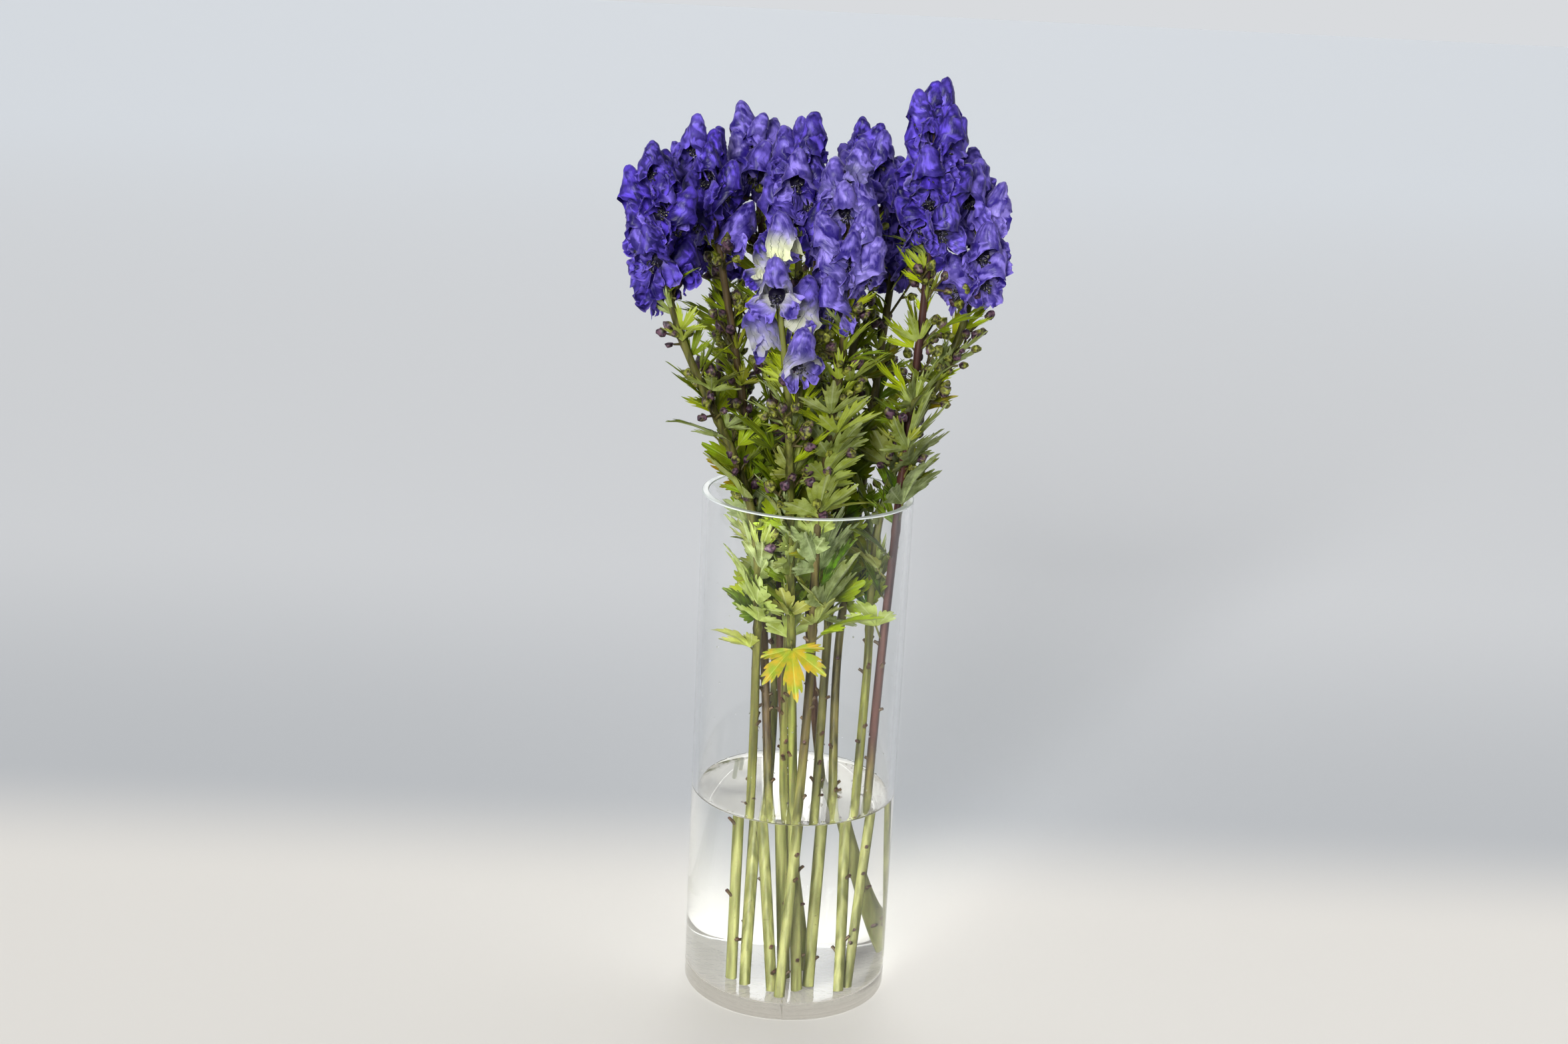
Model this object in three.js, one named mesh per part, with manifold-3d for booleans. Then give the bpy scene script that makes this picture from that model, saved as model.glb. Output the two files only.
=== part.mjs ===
// Monkshood in a glass cylinder vase: twelve cut flower stalks standing in water.
// Millimetres, +Z up. The origin is the centre of the vase's underside.
// Azimuths are in degrees, counted from +X towards +Y; the front of the bunch is -Y.
import * as THREE from 'three';
import { mergeVertices } from 'three/addons/utils/BufferGeometryUtils.js';
import Module from 'manifold-3d';

const wasm = await Module();
wasm.setup();

// The vase and its water
const VASE_RADIUS = 80;
const VASE_HEIGHT = 400;
const WALL = 5;
const BASE_THICKNESS = 11;
const EDGE_ROUND = 1.6;
const WATER_TOP = 160;
const VASE_SIDES = 32;
const GAP = 0.32;
const GREENERY_GAP = 1;
const SMALLEST_FACET = 0.02;
const INNER_RADIUS = VASE_RADIUS - WALL;

// The stems
const FOOT_Z = BASE_THICKNESS + GAP;
const WAIST_Z = 250;
const RIM_Z = 395;
const STEM_FOOT_RADIUS = 3.5;
const STEM_NECK_RADIUS = 2.5;
const STEM_TIP_RADIUS = 1.5;
const STEM_SIDES = 5;
const STEM_STEP = 75;
const STEM_TOP_BELOW_TIP = 24;

// The flower heads: the youngest florets, at the tip, are smaller and closer to the stem
const GOLDEN_ANGLE = 137.5;
const TOP_FLORET_BELOW_TIP = 26;
const LAST_FLORET_ABOVE_NECK = 17;
const YOUNG_FLORETS = 3;
const YOUNG_SIZE = 0.92;
const GROWN_SIZE = 1.1;
const FLORET_REACH = 4.6;
const YOUNG_NOD = -6;
const GROWN_NOD = -20;
const CORE_RADIUS = 6.8;
const CORE_PAST_FLORETS = 8;
// A floret faces +X and stands on +Z. Each ring runs from its front round one side to its back.
const CROWN = [7, 0, 28];
const FLORET_RINGS = [
  [[14, 0, 23], [12, 5.5, 23], [7, 7, 22], [2.5, 5, 21], [0.5, 0, 20]],
  [[19.5, 0, 8], [16.5, 6.5, 9], [8.5, 9, 10], [1.5, 6.5, 9], [-1, 0, 8]],
  [[15, 0, 5.5], [18, 9.5, 1.5], [11, 15.5, -1.5], [4, 6.5, -6], [0, 0, -2]],
];
const CHIN = [13, 0, -16.5];
const FLORET_MIDDLE = [9, 0, 6];
const FLORET_HALF_WIDTH = 8;

// The leaves: each lobe's middle in degrees, its length as a share of the blade, and half its width
const FIVE_LOBES = { middles: [-82, -42, 0, 42, 82], lengths: [0.6, 0.86, 1, 0.86, 0.6], half: 20 };
const THREE_LOBES = { middles: [-50, 0, 50], lengths: [0.74, 1, 0.74], half: 25 };
const FIVE_LOBED_SHARE = 0.36;
const NOTCH_REACH = 0.36;
const SHOULDER_TURN = 0.6;
const SHOULDER_REACH = 0.76;
const BLADE_THICKNESS = 0.9;
const BLADE_RISE = 0.16;
const PETIOLE_WIDTH = 2;
const PETIOLE_CORNERS = 4;
const LOWEST_LEAF_Z = 292;
const LEAVES_BELOW_NECK = 42;
const STEEPER_LOW_DOWN = 24;
const LARGER_LOW_DOWN = 13;
// The lowest leaf of all hangs over, on the stalk whose number is given
const HANGING_LEAF = {
  stalk: '09',
  z: 294,
  azimuth: 305,
  pitch: -34,
  roll: 16,
  blade: 40,
  petiole: 12,
  lobes: FIVE_LOBES,
  bend: 0.2,
};

// The side branches with buds
const BRANCH_RADIUS = 1.05;
const FIRST_BRANCH_BELOW_NECK = 20;
const BRANCH_SPACING = 42;
const BUD_ASIDE = 5.5;
const BUD_AHEAD = 4.5;

// What the leaves and branches keep clear of, and how far they turn or rise to do so, in degrees
const STEM_CLEARANCE = 5.2;
const HEAD_CLEARANCE = 28;
const LEAF_CLEARANCE = 7.5;
const WALL_CLEARANCE = 1.6;
const RISE_STEP = 12;
const MOST_RISE = 36;
const TURN_STEP = 15;
const MOST_TURN = 75;
const STEEPEST = 84;

// The ranges that the seeded draws choose from, in degrees, millimetres and shares
const FLORET_RANGES = { turn: [-14, 14], reach: [-1, 1], size: [-0.07, 0.07], nod: [-8, 8], roll: [-14, 14] };
const LEAF_RANGES = {
  place: [0, 0.6],
  turn: [4, 62],
  pitch: [32, 60],
  roll: [-22, 22],
  blade: [30, 42],
  petiole: [12, 22],
  lobed: [0, 1],
  bend: [0.1, 0.34],
};
const SPRAY_RANGES = {
  drop: [0, 18],
  turn: [15, 80],
  pitch: [42, 62],
  roll: [0, 360],
  length: [24, 38],
  buds: [2, 3.99],
  size: [2.6, 3.5],
};
const FIRST_SEED = 4001;
const SEED_STEP = 977;

// Where each stalk's centre passes: x and y at its foot, at the waist of the bunch and at the
// vase's rim; x, y and z at the neck, where the flowers begin, and at the tip.
const STALKS = [
  { foot: [-34, -24], waist: [-33, -12], rim: [-42, -38], neck: [-103, -45, 538], tip: [-126, -45, 664],
    florets: 8, leaves: 9, sprays: 2, out: 200, petals: 0x3b2aa6, stem: 0x5b4a35 },
  { foot: [-8, -44], waist: [-26, 2], rim: [-40, -2], neck: [-73, 5, 572], tip: [-99, 5, 678],
    florets: 7, leaves: 8, sprays: 2, out: 175, petals: 0x3f2db0, stem: 0x4a4a2c },
  { foot: [12, 8], waist: [-14, 16], rim: [-22, 24], neck: [-47, 50, 607], tip: [-57, 50, 685],
    florets: 5, leaves: 8, sprays: 1, out: 125, petals: 0x6a55cc, stem: 0x63482f },
  { foot: [0, -12], waist: [-10, -6], rim: [-8, 2], neck: [-16, -5, 578], tip: [-22, -5, 683],
    florets: 6, leaves: 8, sprays: 2, out: 265, petals: 0x4331b4, stem: 0x566b2e },
  { foot: [-3, -56], waist: [8, -30], rim: [8, -48], neck: [19, -55, 534], tip: [13, -55, 671],
    florets: 8, leaves: 11, sprays: 2, out: 275, petals: 0x5a49cc, stem: 0x6d5a3a },
  { foot: [16, -30], waist: [20, 6], rim: [24, 22], neck: [34, 45, 607], tip: [37, 45, 679],
    florets: 5, leaves: 8, sprays: 2, out: 75, petals: 0x4c3abf, stem: 0x5f6a35 },
  { foot: [58, 20], waist: [61, -10], rim: [68, -10], neck: [78, -10, 574], tip: [75, -10, 713],
    florets: 9, leaves: 9, sprays: 2, out: 335, petals: 0x3826a8, stem: 0x4f2b33 },
  { foot: [43, -34], waist: [53, 4], rim: [59, 14], neck: [112, 20, 541], tip: [111, 20, 660],
    florets: 7, leaves: 10, sprays: 3, out: 10, petals: 0x5648c4, stem: 0x74803f },
  { foot: [9, -40], waist: [-5, -21], rim: [-13, -54], neck: [-20, -85, 499], tip: [-39, -85, 619],
    florets: 6, leaves: 9, sprays: 1, out: 255, petals: 0x7468c8, stem: 0x6f8a48 },
  { foot: [46, 36], waist: [10, 26], rim: [2, 48], neck: [-4, 84, 560], tip: [-6, 92, 638],
    florets: 5, leaves: 8, sprays: 1, out: 95, petals: 0x4634b2, stem: 0x5d6a33 },
  { foot: [38, -42], waist: [30, 20], rim: [42, 42], neck: [56, 76, 545], tip: [66, 84, 628],
    florets: 6, leaves: 9, sprays: 2, out: 50, petals: 0x5240bc, stem: 0x5a4030 },
  { foot: [-26, -36], waist: [-19, 30], rim: [-40, 36], neck: [-78, 66, 545], tip: [-96, 74, 626],
    florets: 5, leaves: 9, sprays: 2, out: 140, petals: 0x3d2ca8, stem: 0x5c5a30 },
];

const radians = (degrees) => degrees * Math.PI / 180;

// A stream of repeatable draws, each from a range of two numbers
function drawsFrom(seed) {
  let state = seed;
  return ([low, high]) => {
    state = (state * 16807) % 2147483647;
    return low + (high - low) * state / 2147483647;
  };
}

// Turns a three.js geometry into a solid
function solidOf(geometry) {
  const bare = geometry.clone();
  bare.deleteAttribute('normal');
  bare.deleteAttribute('uv');
  const merged = mergeVertices(bare, 1e-4);
  const vertProperties = new Float32Array(merged.attributes.position.array);
  const triVerts = new Uint32Array(merged.index.array);
  return new wasm.Manifold(new wasm.Mesh({ numProp: 3, vertProperties, triVerts }));
}

// The geometry of a solid, with slivers thinner than the smallest facet merged into their neighbours
function geometryOf(solid) {
  const mesh = solid.asOriginal().simplify(SMALLEST_FACET).getMesh();
  const geometry = new THREE.BufferGeometry();
  geometry.setAttribute('position', new THREE.BufferAttribute(new Float32Array(mesh.vertProperties), 3));
  geometry.setIndex(new THREE.BufferAttribute(new Uint32Array(mesh.triVerts), 1));
  geometry.computeVertexNormals();
  return geometry;
}

const joined = (solids) => wasm.Manifold.union(solids);

// The largest body of a solid, without scraps or sealed hollows
function mainBody(solid) {
  const bodies = solid.decompose();
  bodies.sort((a, b) => b.volume() - a.volume());
  return bodies[0];
}

// A round rod through points, with a radius at each. Its rings stand square to it, or lie level.
// A last radius of 0 gives it a pointed end.
function rodGeometry(points, radii, sides, level = false) {
  const positions = [];
  const faces = [];
  const pointed = radii[radii.length - 1] === 0;
  const last = points.length - 1;
  const top = pointed ? last - 1 : last;
  const along = points[last].clone().sub(points[0]).normalize();
  const reference = Math.abs(along.z) > 0.7 ? new THREE.Vector3(0, 1, 0) : new THREE.Vector3(0, 0, 1);
  for (let i = 0; i <= top; i += 1) {
    const ahead = points[Math.min(i + 1, last)];
    const behind = points[Math.max(i - 1, 0)];
    const tangent = level ? new THREE.Vector3(0, 0, 1) : ahead.clone().sub(behind).normalize();
    const side = new THREE.Vector3().crossVectors(reference, tangent).normalize();
    const up = new THREE.Vector3().crossVectors(tangent, side);
    for (let k = 0; k < sides; k += 1) {
      const angle = 2 * Math.PI * k / sides;
      const corner = points[i].clone();
      corner.addScaledVector(side, radii[i] * Math.cos(angle));
      corner.addScaledVector(up, radii[i] * Math.sin(angle));
      positions.push(corner.x, corner.y, corner.z);
    }
  }
  for (let k = 0; k < sides; k += 1) {
    const next = (k + 1) % sides;
    for (let i = 0; i < top; i += 1) {
      const a = i * sides + k;
      const b = i * sides + next;
      faces.push(a, b, b + sides, a, b + sides, a + sides);
    }
    if (pointed) faces.push(top * sides + k, top * sides + next, (top + 1) * sides);
  }
  for (let k = 1; k < sides - 1; k += 1) {
    faces.push(0, k + 1, k);
    if (!pointed) faces.push(top * sides, top * sides + k, top * sides + k + 1);
  }
  if (pointed) positions.push(points[last].x, points[last].y, points[last].z);
  const geometry = new THREE.BufferGeometry();
  geometry.setAttribute('position', new THREE.Float32BufferAttribute(positions, 3));
  geometry.setIndex(faces);
  return geometry;
}

// The stem's centre at a height, on a smooth curve through the stalk's five named points
function stemAt(stalk, z) {
  const knots = stalk.knots;
  let i = 0;
  while (i < knots.length - 2 && z > knots[i + 1][2]) i += 1;
  const span = knots[i + 1][2] - knots[i][2];
  const t = (z - knots[i][2]) / span;
  const centre = [];
  for (let axis = 0; axis < 2; axis += 1) {
    const slopes = [i, i + 1].map((k) => {
      const before = knots[Math.max(k - 1, 0)];
      const after = knots[Math.min(k + 1, knots.length - 1)];
      return (after[axis] - before[axis]) / (after[2] - before[2]);
    });
    const rise = knots[i + 1][axis] - knots[i][axis];
    const cubic = slopes[0] * span + slopes[1] * span - 2 * rise;
    const square = 3 * rise - 2 * slopes[0] * span - slopes[1] * span;
    centre.push(knots[i][axis] + t * (slopes[0] * span + t * (square + t * cubic)));
  }
  return new THREE.Vector3(centre[0], centre[1], z);
}

function stemRadius(stalk, z) {
  if (z < stalk.neck[2]) {
    const t = (z - FOOT_Z) / (stalk.neck[2] - FOOT_Z);
    return STEM_FOOT_RADIUS + (STEM_NECK_RADIUS - STEM_FOOT_RADIUS) * t;
  }
  const t = (z - stalk.neck[2]) / (stalk.tip[2] - stalk.neck[2]);
  return STEM_NECK_RADIUS + (STEM_TIP_RADIUS - STEM_NECK_RADIUS) * t;
}

// The stem from just above the glass to inside its flower head. A grown one reaches past both ends.
function stemSolid(stalk, grow) {
  const top = stalk.tip[2] - STEM_TOP_BELOW_TIP + grow;
  const bottom = FOOT_Z - 4 * grow;
  const steps = Math.round((top - bottom) / STEM_STEP);
  const points = [];
  const radii = [];
  for (let i = 0; i <= steps; i += 1) {
    const z = bottom + (top - bottom) * i / steps;
    points.push(stemAt(stalk, z));
    radii.push(stemRadius(stalk, z) + grow);
  }
  return solidOf(rodGeometry(points, radii, STEM_SIDES, true));
}

// The frame of a thing that points along an azimuth and rises by a pitch, with its face turned up
function frameMatrix(origin, azimuth, pitch, roll) {
  const matrix = new THREE.Matrix4().makeTranslation(origin.x, origin.y, origin.z);
  matrix.multiply(new THREE.Matrix4().makeRotationZ(radians(azimuth)));
  matrix.multiply(new THREE.Matrix4().makeRotationY(radians(-pitch)));
  matrix.multiply(new THREE.Matrix4().makeRotationX(radians(roll)));
  return matrix;
}

// The florets of a head, in a spiral from the tip down
function floretPlan(stalk, draw) {
  const florets = [];
  const top = stalk.tip[2] - TOP_FLORET_BELOW_TIP;
  const bottom = stalk.neck[2] + LAST_FLORET_ABOVE_NECK;
  for (let k = 0; k < stalk.florets; k += 1) {
    const z = top + (bottom - top) * k / (stalk.florets - 1);
    const grown = Math.min(1, k / YOUNG_FLORETS);
    const azimuth = stalk.out + 90 + k * GOLDEN_ANGLE + draw(FLORET_RANGES.turn);
    const reach = FLORET_REACH * grown + draw(FLORET_RANGES.reach);
    const size = YOUNG_SIZE + (GROWN_SIZE - YOUNG_SIZE) * grown + draw(FLORET_RANGES.size);
    const nod = YOUNG_NOD + (GROWN_NOD - YOUNG_NOD) * grown + draw(FLORET_RANGES.nod);
    const roll = draw(FLORET_RANGES.roll);
    florets.push({ z, azimuth, reach, size, nod, roll });
  }
  return florets;
}

function floretMatrix(stalk, floret) {
  const origin = stemAt(stalk, floret.z);
  origin.x += floret.reach * Math.cos(radians(floret.azimuth));
  origin.y += floret.reach * Math.sin(radians(floret.azimuth));
  const matrix = frameMatrix(origin, floret.azimuth, floret.nod, floret.roll);
  return matrix.multiply(new THREE.Matrix4().makeScale(floret.size, floret.size, floret.size));
}

// One floret: a tall hood over a broad petal on each side, with the lower petals hanging
function floretGeometry(grow) {
  const rings = FLORET_RINGS.map((half) => {
    const mirrored = half.slice(1, -1).reverse().map(([x, y, z]) => [x, -y, z]);
    return [...half, ...mirrored];
  });
  const count = rings[0].length;
  const points = [CROWN, ...rings.flat(), CHIN];
  const faces = [];
  for (let k = 0; k < count; k += 1) {
    const next = (k + 1) % count;
    const lowest = 1 + (rings.length - 1) * count;
    faces.push(0, 1 + k, 1 + next);
    faces.push(points.length - 1, lowest + next, lowest + k);
    for (let ring = 0; ring < rings.length - 1; ring += 1) {
      const above = 1 + ring * count;
      const below = above + count;
      faces.push(above + k, below + k, below + next, above + k, below + next, above + next);
    }
  }
  const swell = 1 + grow / FLORET_HALF_WIDTH;
  const positions = points.flatMap((point) => point.map((value, axis) => {
    return FLORET_MIDDLE[axis] + swell * (value - FLORET_MIDDLE[axis]);
  }));
  const geometry = new THREE.BufferGeometry();
  geometry.setAttribute('position', new THREE.Float32BufferAttribute(positions, 3));
  geometry.setIndex(faces);
  return geometry;
}

// The slim middle of a head, round the stem
function coreSolid(stalk, grow) {
  const bottom = stalk.neck[2] + LAST_FLORET_ABOVE_NECK - CORE_PAST_FLORETS;
  const top = stalk.tip[2] - TOP_FLORET_BELOW_TIP + CORE_PAST_FLORETS;
  const points = [0, 0.5, 1].map((t) => stemAt(stalk, bottom + (top - bottom) * t));
  return solidOf(rodGeometry(points, points.map(() => CORE_RADIUS + grow), STEM_SIDES, true));
}

function headSolid(stalk, grow) {
  const solids = [coreSolid(stalk, grow)];
  stalk.floretList.forEach((floret) => {
    solids.push(solidOf(floretGeometry(grow).applyMatrix4(floretMatrix(stalk, floret))));
  });
  return joined(solids);
}

// Keeps a head on its own side of the plane halfway to a neighbour
function keptFrom(head, stalk, other) {
  const middleZ = (Math.max(stalk.neck[2], other.neck[2]) + Math.min(stalk.tip[2], other.tip[2])) / 2;
  const own = stemAt(stalk, middleZ);
  const its = stemAt(other, middleZ);
  const normal = own.clone().sub(its).normalize();
  const middle = own.clone().add(its).multiplyScalar(0.5);
  return head.trimByPlane(normal.toArray(), normal.dot(middle) + GAP / 2);
}

// Points of the leaves and branches that have their place
const taken = [];

// Whether the points of a leaf or branch keep clear of the glass, stems, heads and what has its place
function isClear(points, own) {
  const lowest = Math.min(...points.map((p) => p.z));
  const widest = Math.max(...points.map((p) => Math.hypot(p.x, p.y)));
  if (lowest < VASE_HEIGHT + WALL_CLEARANCE && widest > INNER_RADIUS - WALL_CLEARANCE) return false;
  const clearOfStalks = points.every((p) => STALKS.every((other) => {
    if (other === own || p.z > other.tip[2]) return true;
    const centre = stemAt(other, p.z);
    const needed = p.z > other.neck[2] ? HEAD_CLEARANCE : STEM_CLEARANCE;
    return Math.hypot(p.x - centre.x, p.y - centre.y) > needed;
  }));
  return clearOfStalks && points.every((p) => taken.every((q) => p.distanceTo(q) > LEAF_CLEARANCE));
}

// The first direction near the wanted one in which a leaf or branch is clear of what is there.
// It takes its place in that direction.
function clearDirection(stalk, wanted, corners) {
  const origin = stemAt(stalk, wanted.z);
  for (let rise = 0; rise <= MOST_RISE; rise += RISE_STEP) {
    for (let turn = 0; turn <= MOST_TURN; turn += TURN_STEP) {
      for (const sign of [1, -1]) {
        const azimuth = wanted.azimuth + sign * turn;
        const pitch = Math.min(STEEPEST, wanted.pitch + rise);
        const matrix = frameMatrix(origin, azimuth, pitch, wanted.roll);
        const points = corners.map((corner) => corner.clone().applyMatrix4(matrix));
        if (isClear(points, stalk)) {
          taken.push(...points);
          return { azimuth, pitch, matrix };
        }
      }
    }
  }
  return null;
}

// How a leaf's blade bends down towards its tips and rises beside its midrib
function bendBlade(p, leaf) {
  const onBlade = p.x > 0 || Math.abs(p.y) > 2 * PETIOLE_WIDTH;
  const away = onBlade ? Math.hypot(p.x, p.y) / leaf.blade : 0;
  p.z += BLADE_RISE * Math.abs(p.y) - leaf.bend * leaf.blade * away * away;
  p.x += leaf.petiole;
}

// Adds a leaf to the others of its stalk, in a clear direction if there is one
function addLeaf(stalk, leaves, leaf) {
  const place = clearDirection(stalk, leaf, leafPoints(leaf));
  if (place) leaves.push({ ...leaf, ...place });
}

// The leaves of a stalk from the lowest up, which are larger and steeper low down
function leafPlan(stalk, draw) {
  const leaves = [];
  if (HANGING_LEAF.stalk === stalk.number) addLeaf(stalk, leaves, HANGING_LEAF);
  const span = stalk.neck[2] - LEAVES_BELOW_NECK - LOWEST_LEAF_Z;
  for (let k = 0; k < stalk.leaves; k += 1) {
    const low = 0.5 + 0.5 * Math.cos(Math.PI * k / stalk.leaves);
    addLeaf(stalk, leaves, {
      z: LOWEST_LEAF_Z + span * (k + draw(LEAF_RANGES.place)) / stalk.leaves,
      azimuth: stalk.out + (k % 2 === 0 ? 1 : -1) * draw(LEAF_RANGES.turn),
      pitch: draw(LEAF_RANGES.pitch) + STEEPER_LOW_DOWN * low,
      roll: draw(LEAF_RANGES.roll),
      blade: draw(LEAF_RANGES.blade) + LARGER_LOW_DOWN * low,
      petiole: draw(LEAF_RANGES.petiole),
      lobes: draw(LEAF_RANGES.lobed) < FIVE_LOBED_SHARE ? FIVE_LOBES : THREE_LOBES,
      bend: draw(LEAF_RANGES.bend),
    });
  }
  return leaves;
}

// The outline of a cut leaf and its stalk about the blade's base: pointed lobes with shoulders
function leafOutline(leaf) {
  const { middles, lengths, half } = leaf.lobes;
  const side = PETIOLE_WIDTH / 2;
  const outline = [[0, side], [-leaf.petiole, side], [-leaf.petiole, -side], [0, -side]];
  const corner = (angle, reach) => {
    const radius = leaf.blade * reach;
    outline.push([radius * Math.cos(radians(angle)), radius * Math.sin(radians(angle))]);
  };
  middles.forEach((middle, j) => {
    if (j > 0) corner(middle - half, NOTCH_REACH * Math.min(lengths[j], lengths[j - 1]));
    corner(middle - SHOULDER_TURN * half, SHOULDER_REACH * lengths[j]);
    corner(middle, lengths[j]);
    corner(middle + SHOULDER_TURN * half, SHOULDER_REACH * lengths[j]);
  });
  return outline;
}

// The points that stand for a leaf's blade where it looks for a clear place
function leafPoints(leaf) {
  const blade = leafOutline(leaf).slice(PETIOLE_CORNERS);
  const points = blade.map(([x, y]) => new THREE.Vector3(x, y, 0));
  leaf.lobes.middles.forEach((middle, j) => [0.35, 0.7].forEach((share) => {
    const radius = share * leaf.blade * leaf.lobes.lengths[j];
    points.push(new THREE.Vector3(radius * Math.cos(radians(middle)), radius * Math.sin(radians(middle)), 0));
  }));
  points.forEach((point) => bendBlade(point, leaf));
  return points;
}

// An outline's corners moved outwards, each along the middle of its two edges' normals. A sharp
// corner moves no more than a few times as far as its edges.
function widened(outline, grow) {
  return outline.map(([x, y], k) => {
    const before = outline[(k + outline.length - 1) % outline.length];
    const after = outline[(k + 1) % outline.length];
    const first = new THREE.Vector2(y - before[1], before[0] - x).normalize();
    const second = new THREE.Vector2(after[1] - y, x - after[0]).normalize();
    const outward = first.clone().add(second);
    const stretch = outward.length() / Math.max(0.1, 1 + first.dot(second));
    outward.normalize().multiplyScalar(grow * Math.min(2.5, stretch));
    return [x + outward.x, y + outward.y];
  });
}

// A leaf's blade and stalk, split into triangles alike on both faces
function leafSolid(leaf, grow) {
  const outline = leafOutline(leaf);
  const contour = outline.map(([x, y]) => new THREE.Vector2(x, y));
  const triangles = THREE.ShapeUtils.triangulateShape(contour, []);
  const corners = widened(outline, grow);
  const count = outline.length;
  const positions = [];
  [1, -1].forEach((face) => corners.forEach(([x, y]) => {
    const point = new THREE.Vector3(x, y, face * (BLADE_THICKNESS / 2 + grow));
    bendBlade(point, leaf);
    positions.push(point.x, point.y, point.z);
  }));
  const faces = [];
  triangles.forEach(([a, b, c]) => faces.push(a, b, c, count + a, count + c, count + b));
  for (let k = 0; k < count; k += 1) {
    const next = (k + 1) % count;
    faces.push(count + k, count + next, next, count + k, next, k);
  }
  const geometry = new THREE.BufferGeometry();
  geometry.setAttribute('position', new THREE.Float32BufferAttribute(positions, 3));
  geometry.setIndex(faces);
  return solidOf(geometry.applyMatrix4(leaf.matrix));
}

// The side branches of a stalk from the neck down
function sprayPlan(stalk, draw) {
  const sprays = [];
  for (let k = 0; k < stalk.sprays; k += 1) {
    const spray = {
      z: stalk.neck[2] - FIRST_BRANCH_BELOW_NECK - BRANCH_SPACING * k - draw(SPRAY_RANGES.drop),
      azimuth: stalk.out + (k % 2 === 0 ? -1 : 1) * draw(SPRAY_RANGES.turn),
      pitch: draw(SPRAY_RANGES.pitch),
      roll: draw(SPRAY_RANGES.roll),
      length: draw(SPRAY_RANGES.length),
      buds: Math.floor(draw(SPRAY_RANGES.buds)),
      size: draw(SPRAY_RANGES.size),
    };
    const points = [0.3, 0.5, 0.7, 0.9, 1.1].map((share) => {
      return new THREE.Vector3(share * (spray.length + spray.size), 0, 0);
    });
    const place = clearDirection(stalk, spray, points);
    if (place) sprays.push({ ...spray, ...place });
  }
  return sprays;
}

// A stalked bud: a thin stalk that swells into a round bud with a blunt tip
function budGeometry(start, end, radius, grow) {
  const along = end.clone().sub(start).normalize();
  const widest = end.clone().addScaledVector(along, radius * 1.1);
  const tip = end.clone().addScaledVector(along, radius * 2.3 + grow);
  const radii = [BRANCH_RADIUS + grow, 0.8 * BRANCH_RADIUS + grow, radius + grow, 0];
  return rodGeometry([start, end, widest, tip], radii, 4);
}

// A side branch that ends in a bud, with more buds on short stalks along it
function spraySolids(spray, grow) {
  const pieces = [];
  for (let k = 0; k < spray.buds; k += 1) {
    const radius = spray.size * (1 - 0.08 * k);
    const root = k === 0 ? 0 : spray.length * (0.86 - 0.26 * k);
    const turn = radians(GOLDEN_ANGLE * k);
    const aside = k === 0 ? 0 : BUD_ASIDE;
    const ahead = k === 0 ? spray.length : root + BUD_AHEAD;
    const end = new THREE.Vector3(ahead, aside * Math.cos(turn), aside * Math.sin(turn));
    pieces.push(budGeometry(new THREE.Vector3(root, 0, 0), end, radius, grow));
  }
  return pieces.map((piece) => solidOf(piece.applyMatrix4(spray.matrix)));
}

function greenerySolids(stalk, grow) {
  const solids = [];
  stalk.leafList.forEach((leaf) => solids.push(leafSolid(leaf, grow)));
  stalk.sprayList.forEach((spray) => solids.push(...spraySolids(spray, grow)));
  return solids;
}

// The glass: a straight cylinder with a thick floor and softened edges
function vaseGeometry() {
  const profile = [
    [0, 0],
    [VASE_RADIUS - EDGE_ROUND, 0],
    [VASE_RADIUS, EDGE_ROUND],
    [VASE_RADIUS, VASE_HEIGHT - EDGE_ROUND],
    [VASE_RADIUS - EDGE_ROUND, VASE_HEIGHT],
    [INNER_RADIUS + EDGE_ROUND, VASE_HEIGHT],
    [INNER_RADIUS, VASE_HEIGHT - EDGE_ROUND],
    [INNER_RADIUS, BASE_THICKNESS],
    [0, BASE_THICKNESS],
  ];
  const points = profile.map(([radius, height]) => new THREE.Vector2(radius, height));
  return new THREE.LatheGeometry(points, VASE_SIDES).rotateX(Math.PI / 2);
}

function waterGeometry() {
  const radius = INNER_RADIUS - GAP;
  const profile = [[0, FOOT_Z], [radius, FOOT_Z], [radius, WATER_TOP], [0, WATER_TOP]];
  const points = profile.map(([across, height]) => new THREE.Vector2(across, height));
  return new THREE.LatheGeometry(points, VASE_SIDES).rotateX(Math.PI / 2);
}

function meshOf(name, solid, color, roughness, extra = {}) {
  const material = new THREE.MeshStandardMaterial({ color, roughness, metalness: 0, ...extra });
  const mesh = new THREE.Mesh(geometryOf(solid), material);
  mesh.name = name;
  return mesh;
}

// The plan of every stalk, each from its own seed
STALKS.forEach((stalk, index) => {
  const inVase = [[...stalk.foot, FOOT_Z], [...stalk.waist, WAIST_Z], [...stalk.rim, RIM_Z]];
  stalk.number = String(index + 1).padStart(2, '0');
  stalk.knots = [...inVase, stalk.neck, stalk.tip];
});
STALKS.forEach((stalk, index) => {
  const draw = drawsFrom(FIRST_SEED + SEED_STEP * index);
  stalk.floretList = floretPlan(stalk, draw);
  stalk.leafList = leafPlan(stalk, draw);
  stalk.sprayList = sprayPlan(stalk, draw);
});

const group = new THREE.Group();

const stems = STALKS.map((stalk) => stemSolid(stalk, 0));
const wideStems = STALKS.map((stalk) => stemSolid(stalk, GAP));
const vase = solidOf(vaseGeometry());
const water = solidOf(waterGeometry()).subtract(joined(wideStems));
group.add(meshOf('vase', vase, 0xdfe8e6, 0.05, { transparent: true, opacity: 0.3 }));
group.add(meshOf('water', mainBody(water), 0xd5e2e0, 0.05, { transparent: true, opacity: 0.3 }));

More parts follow.
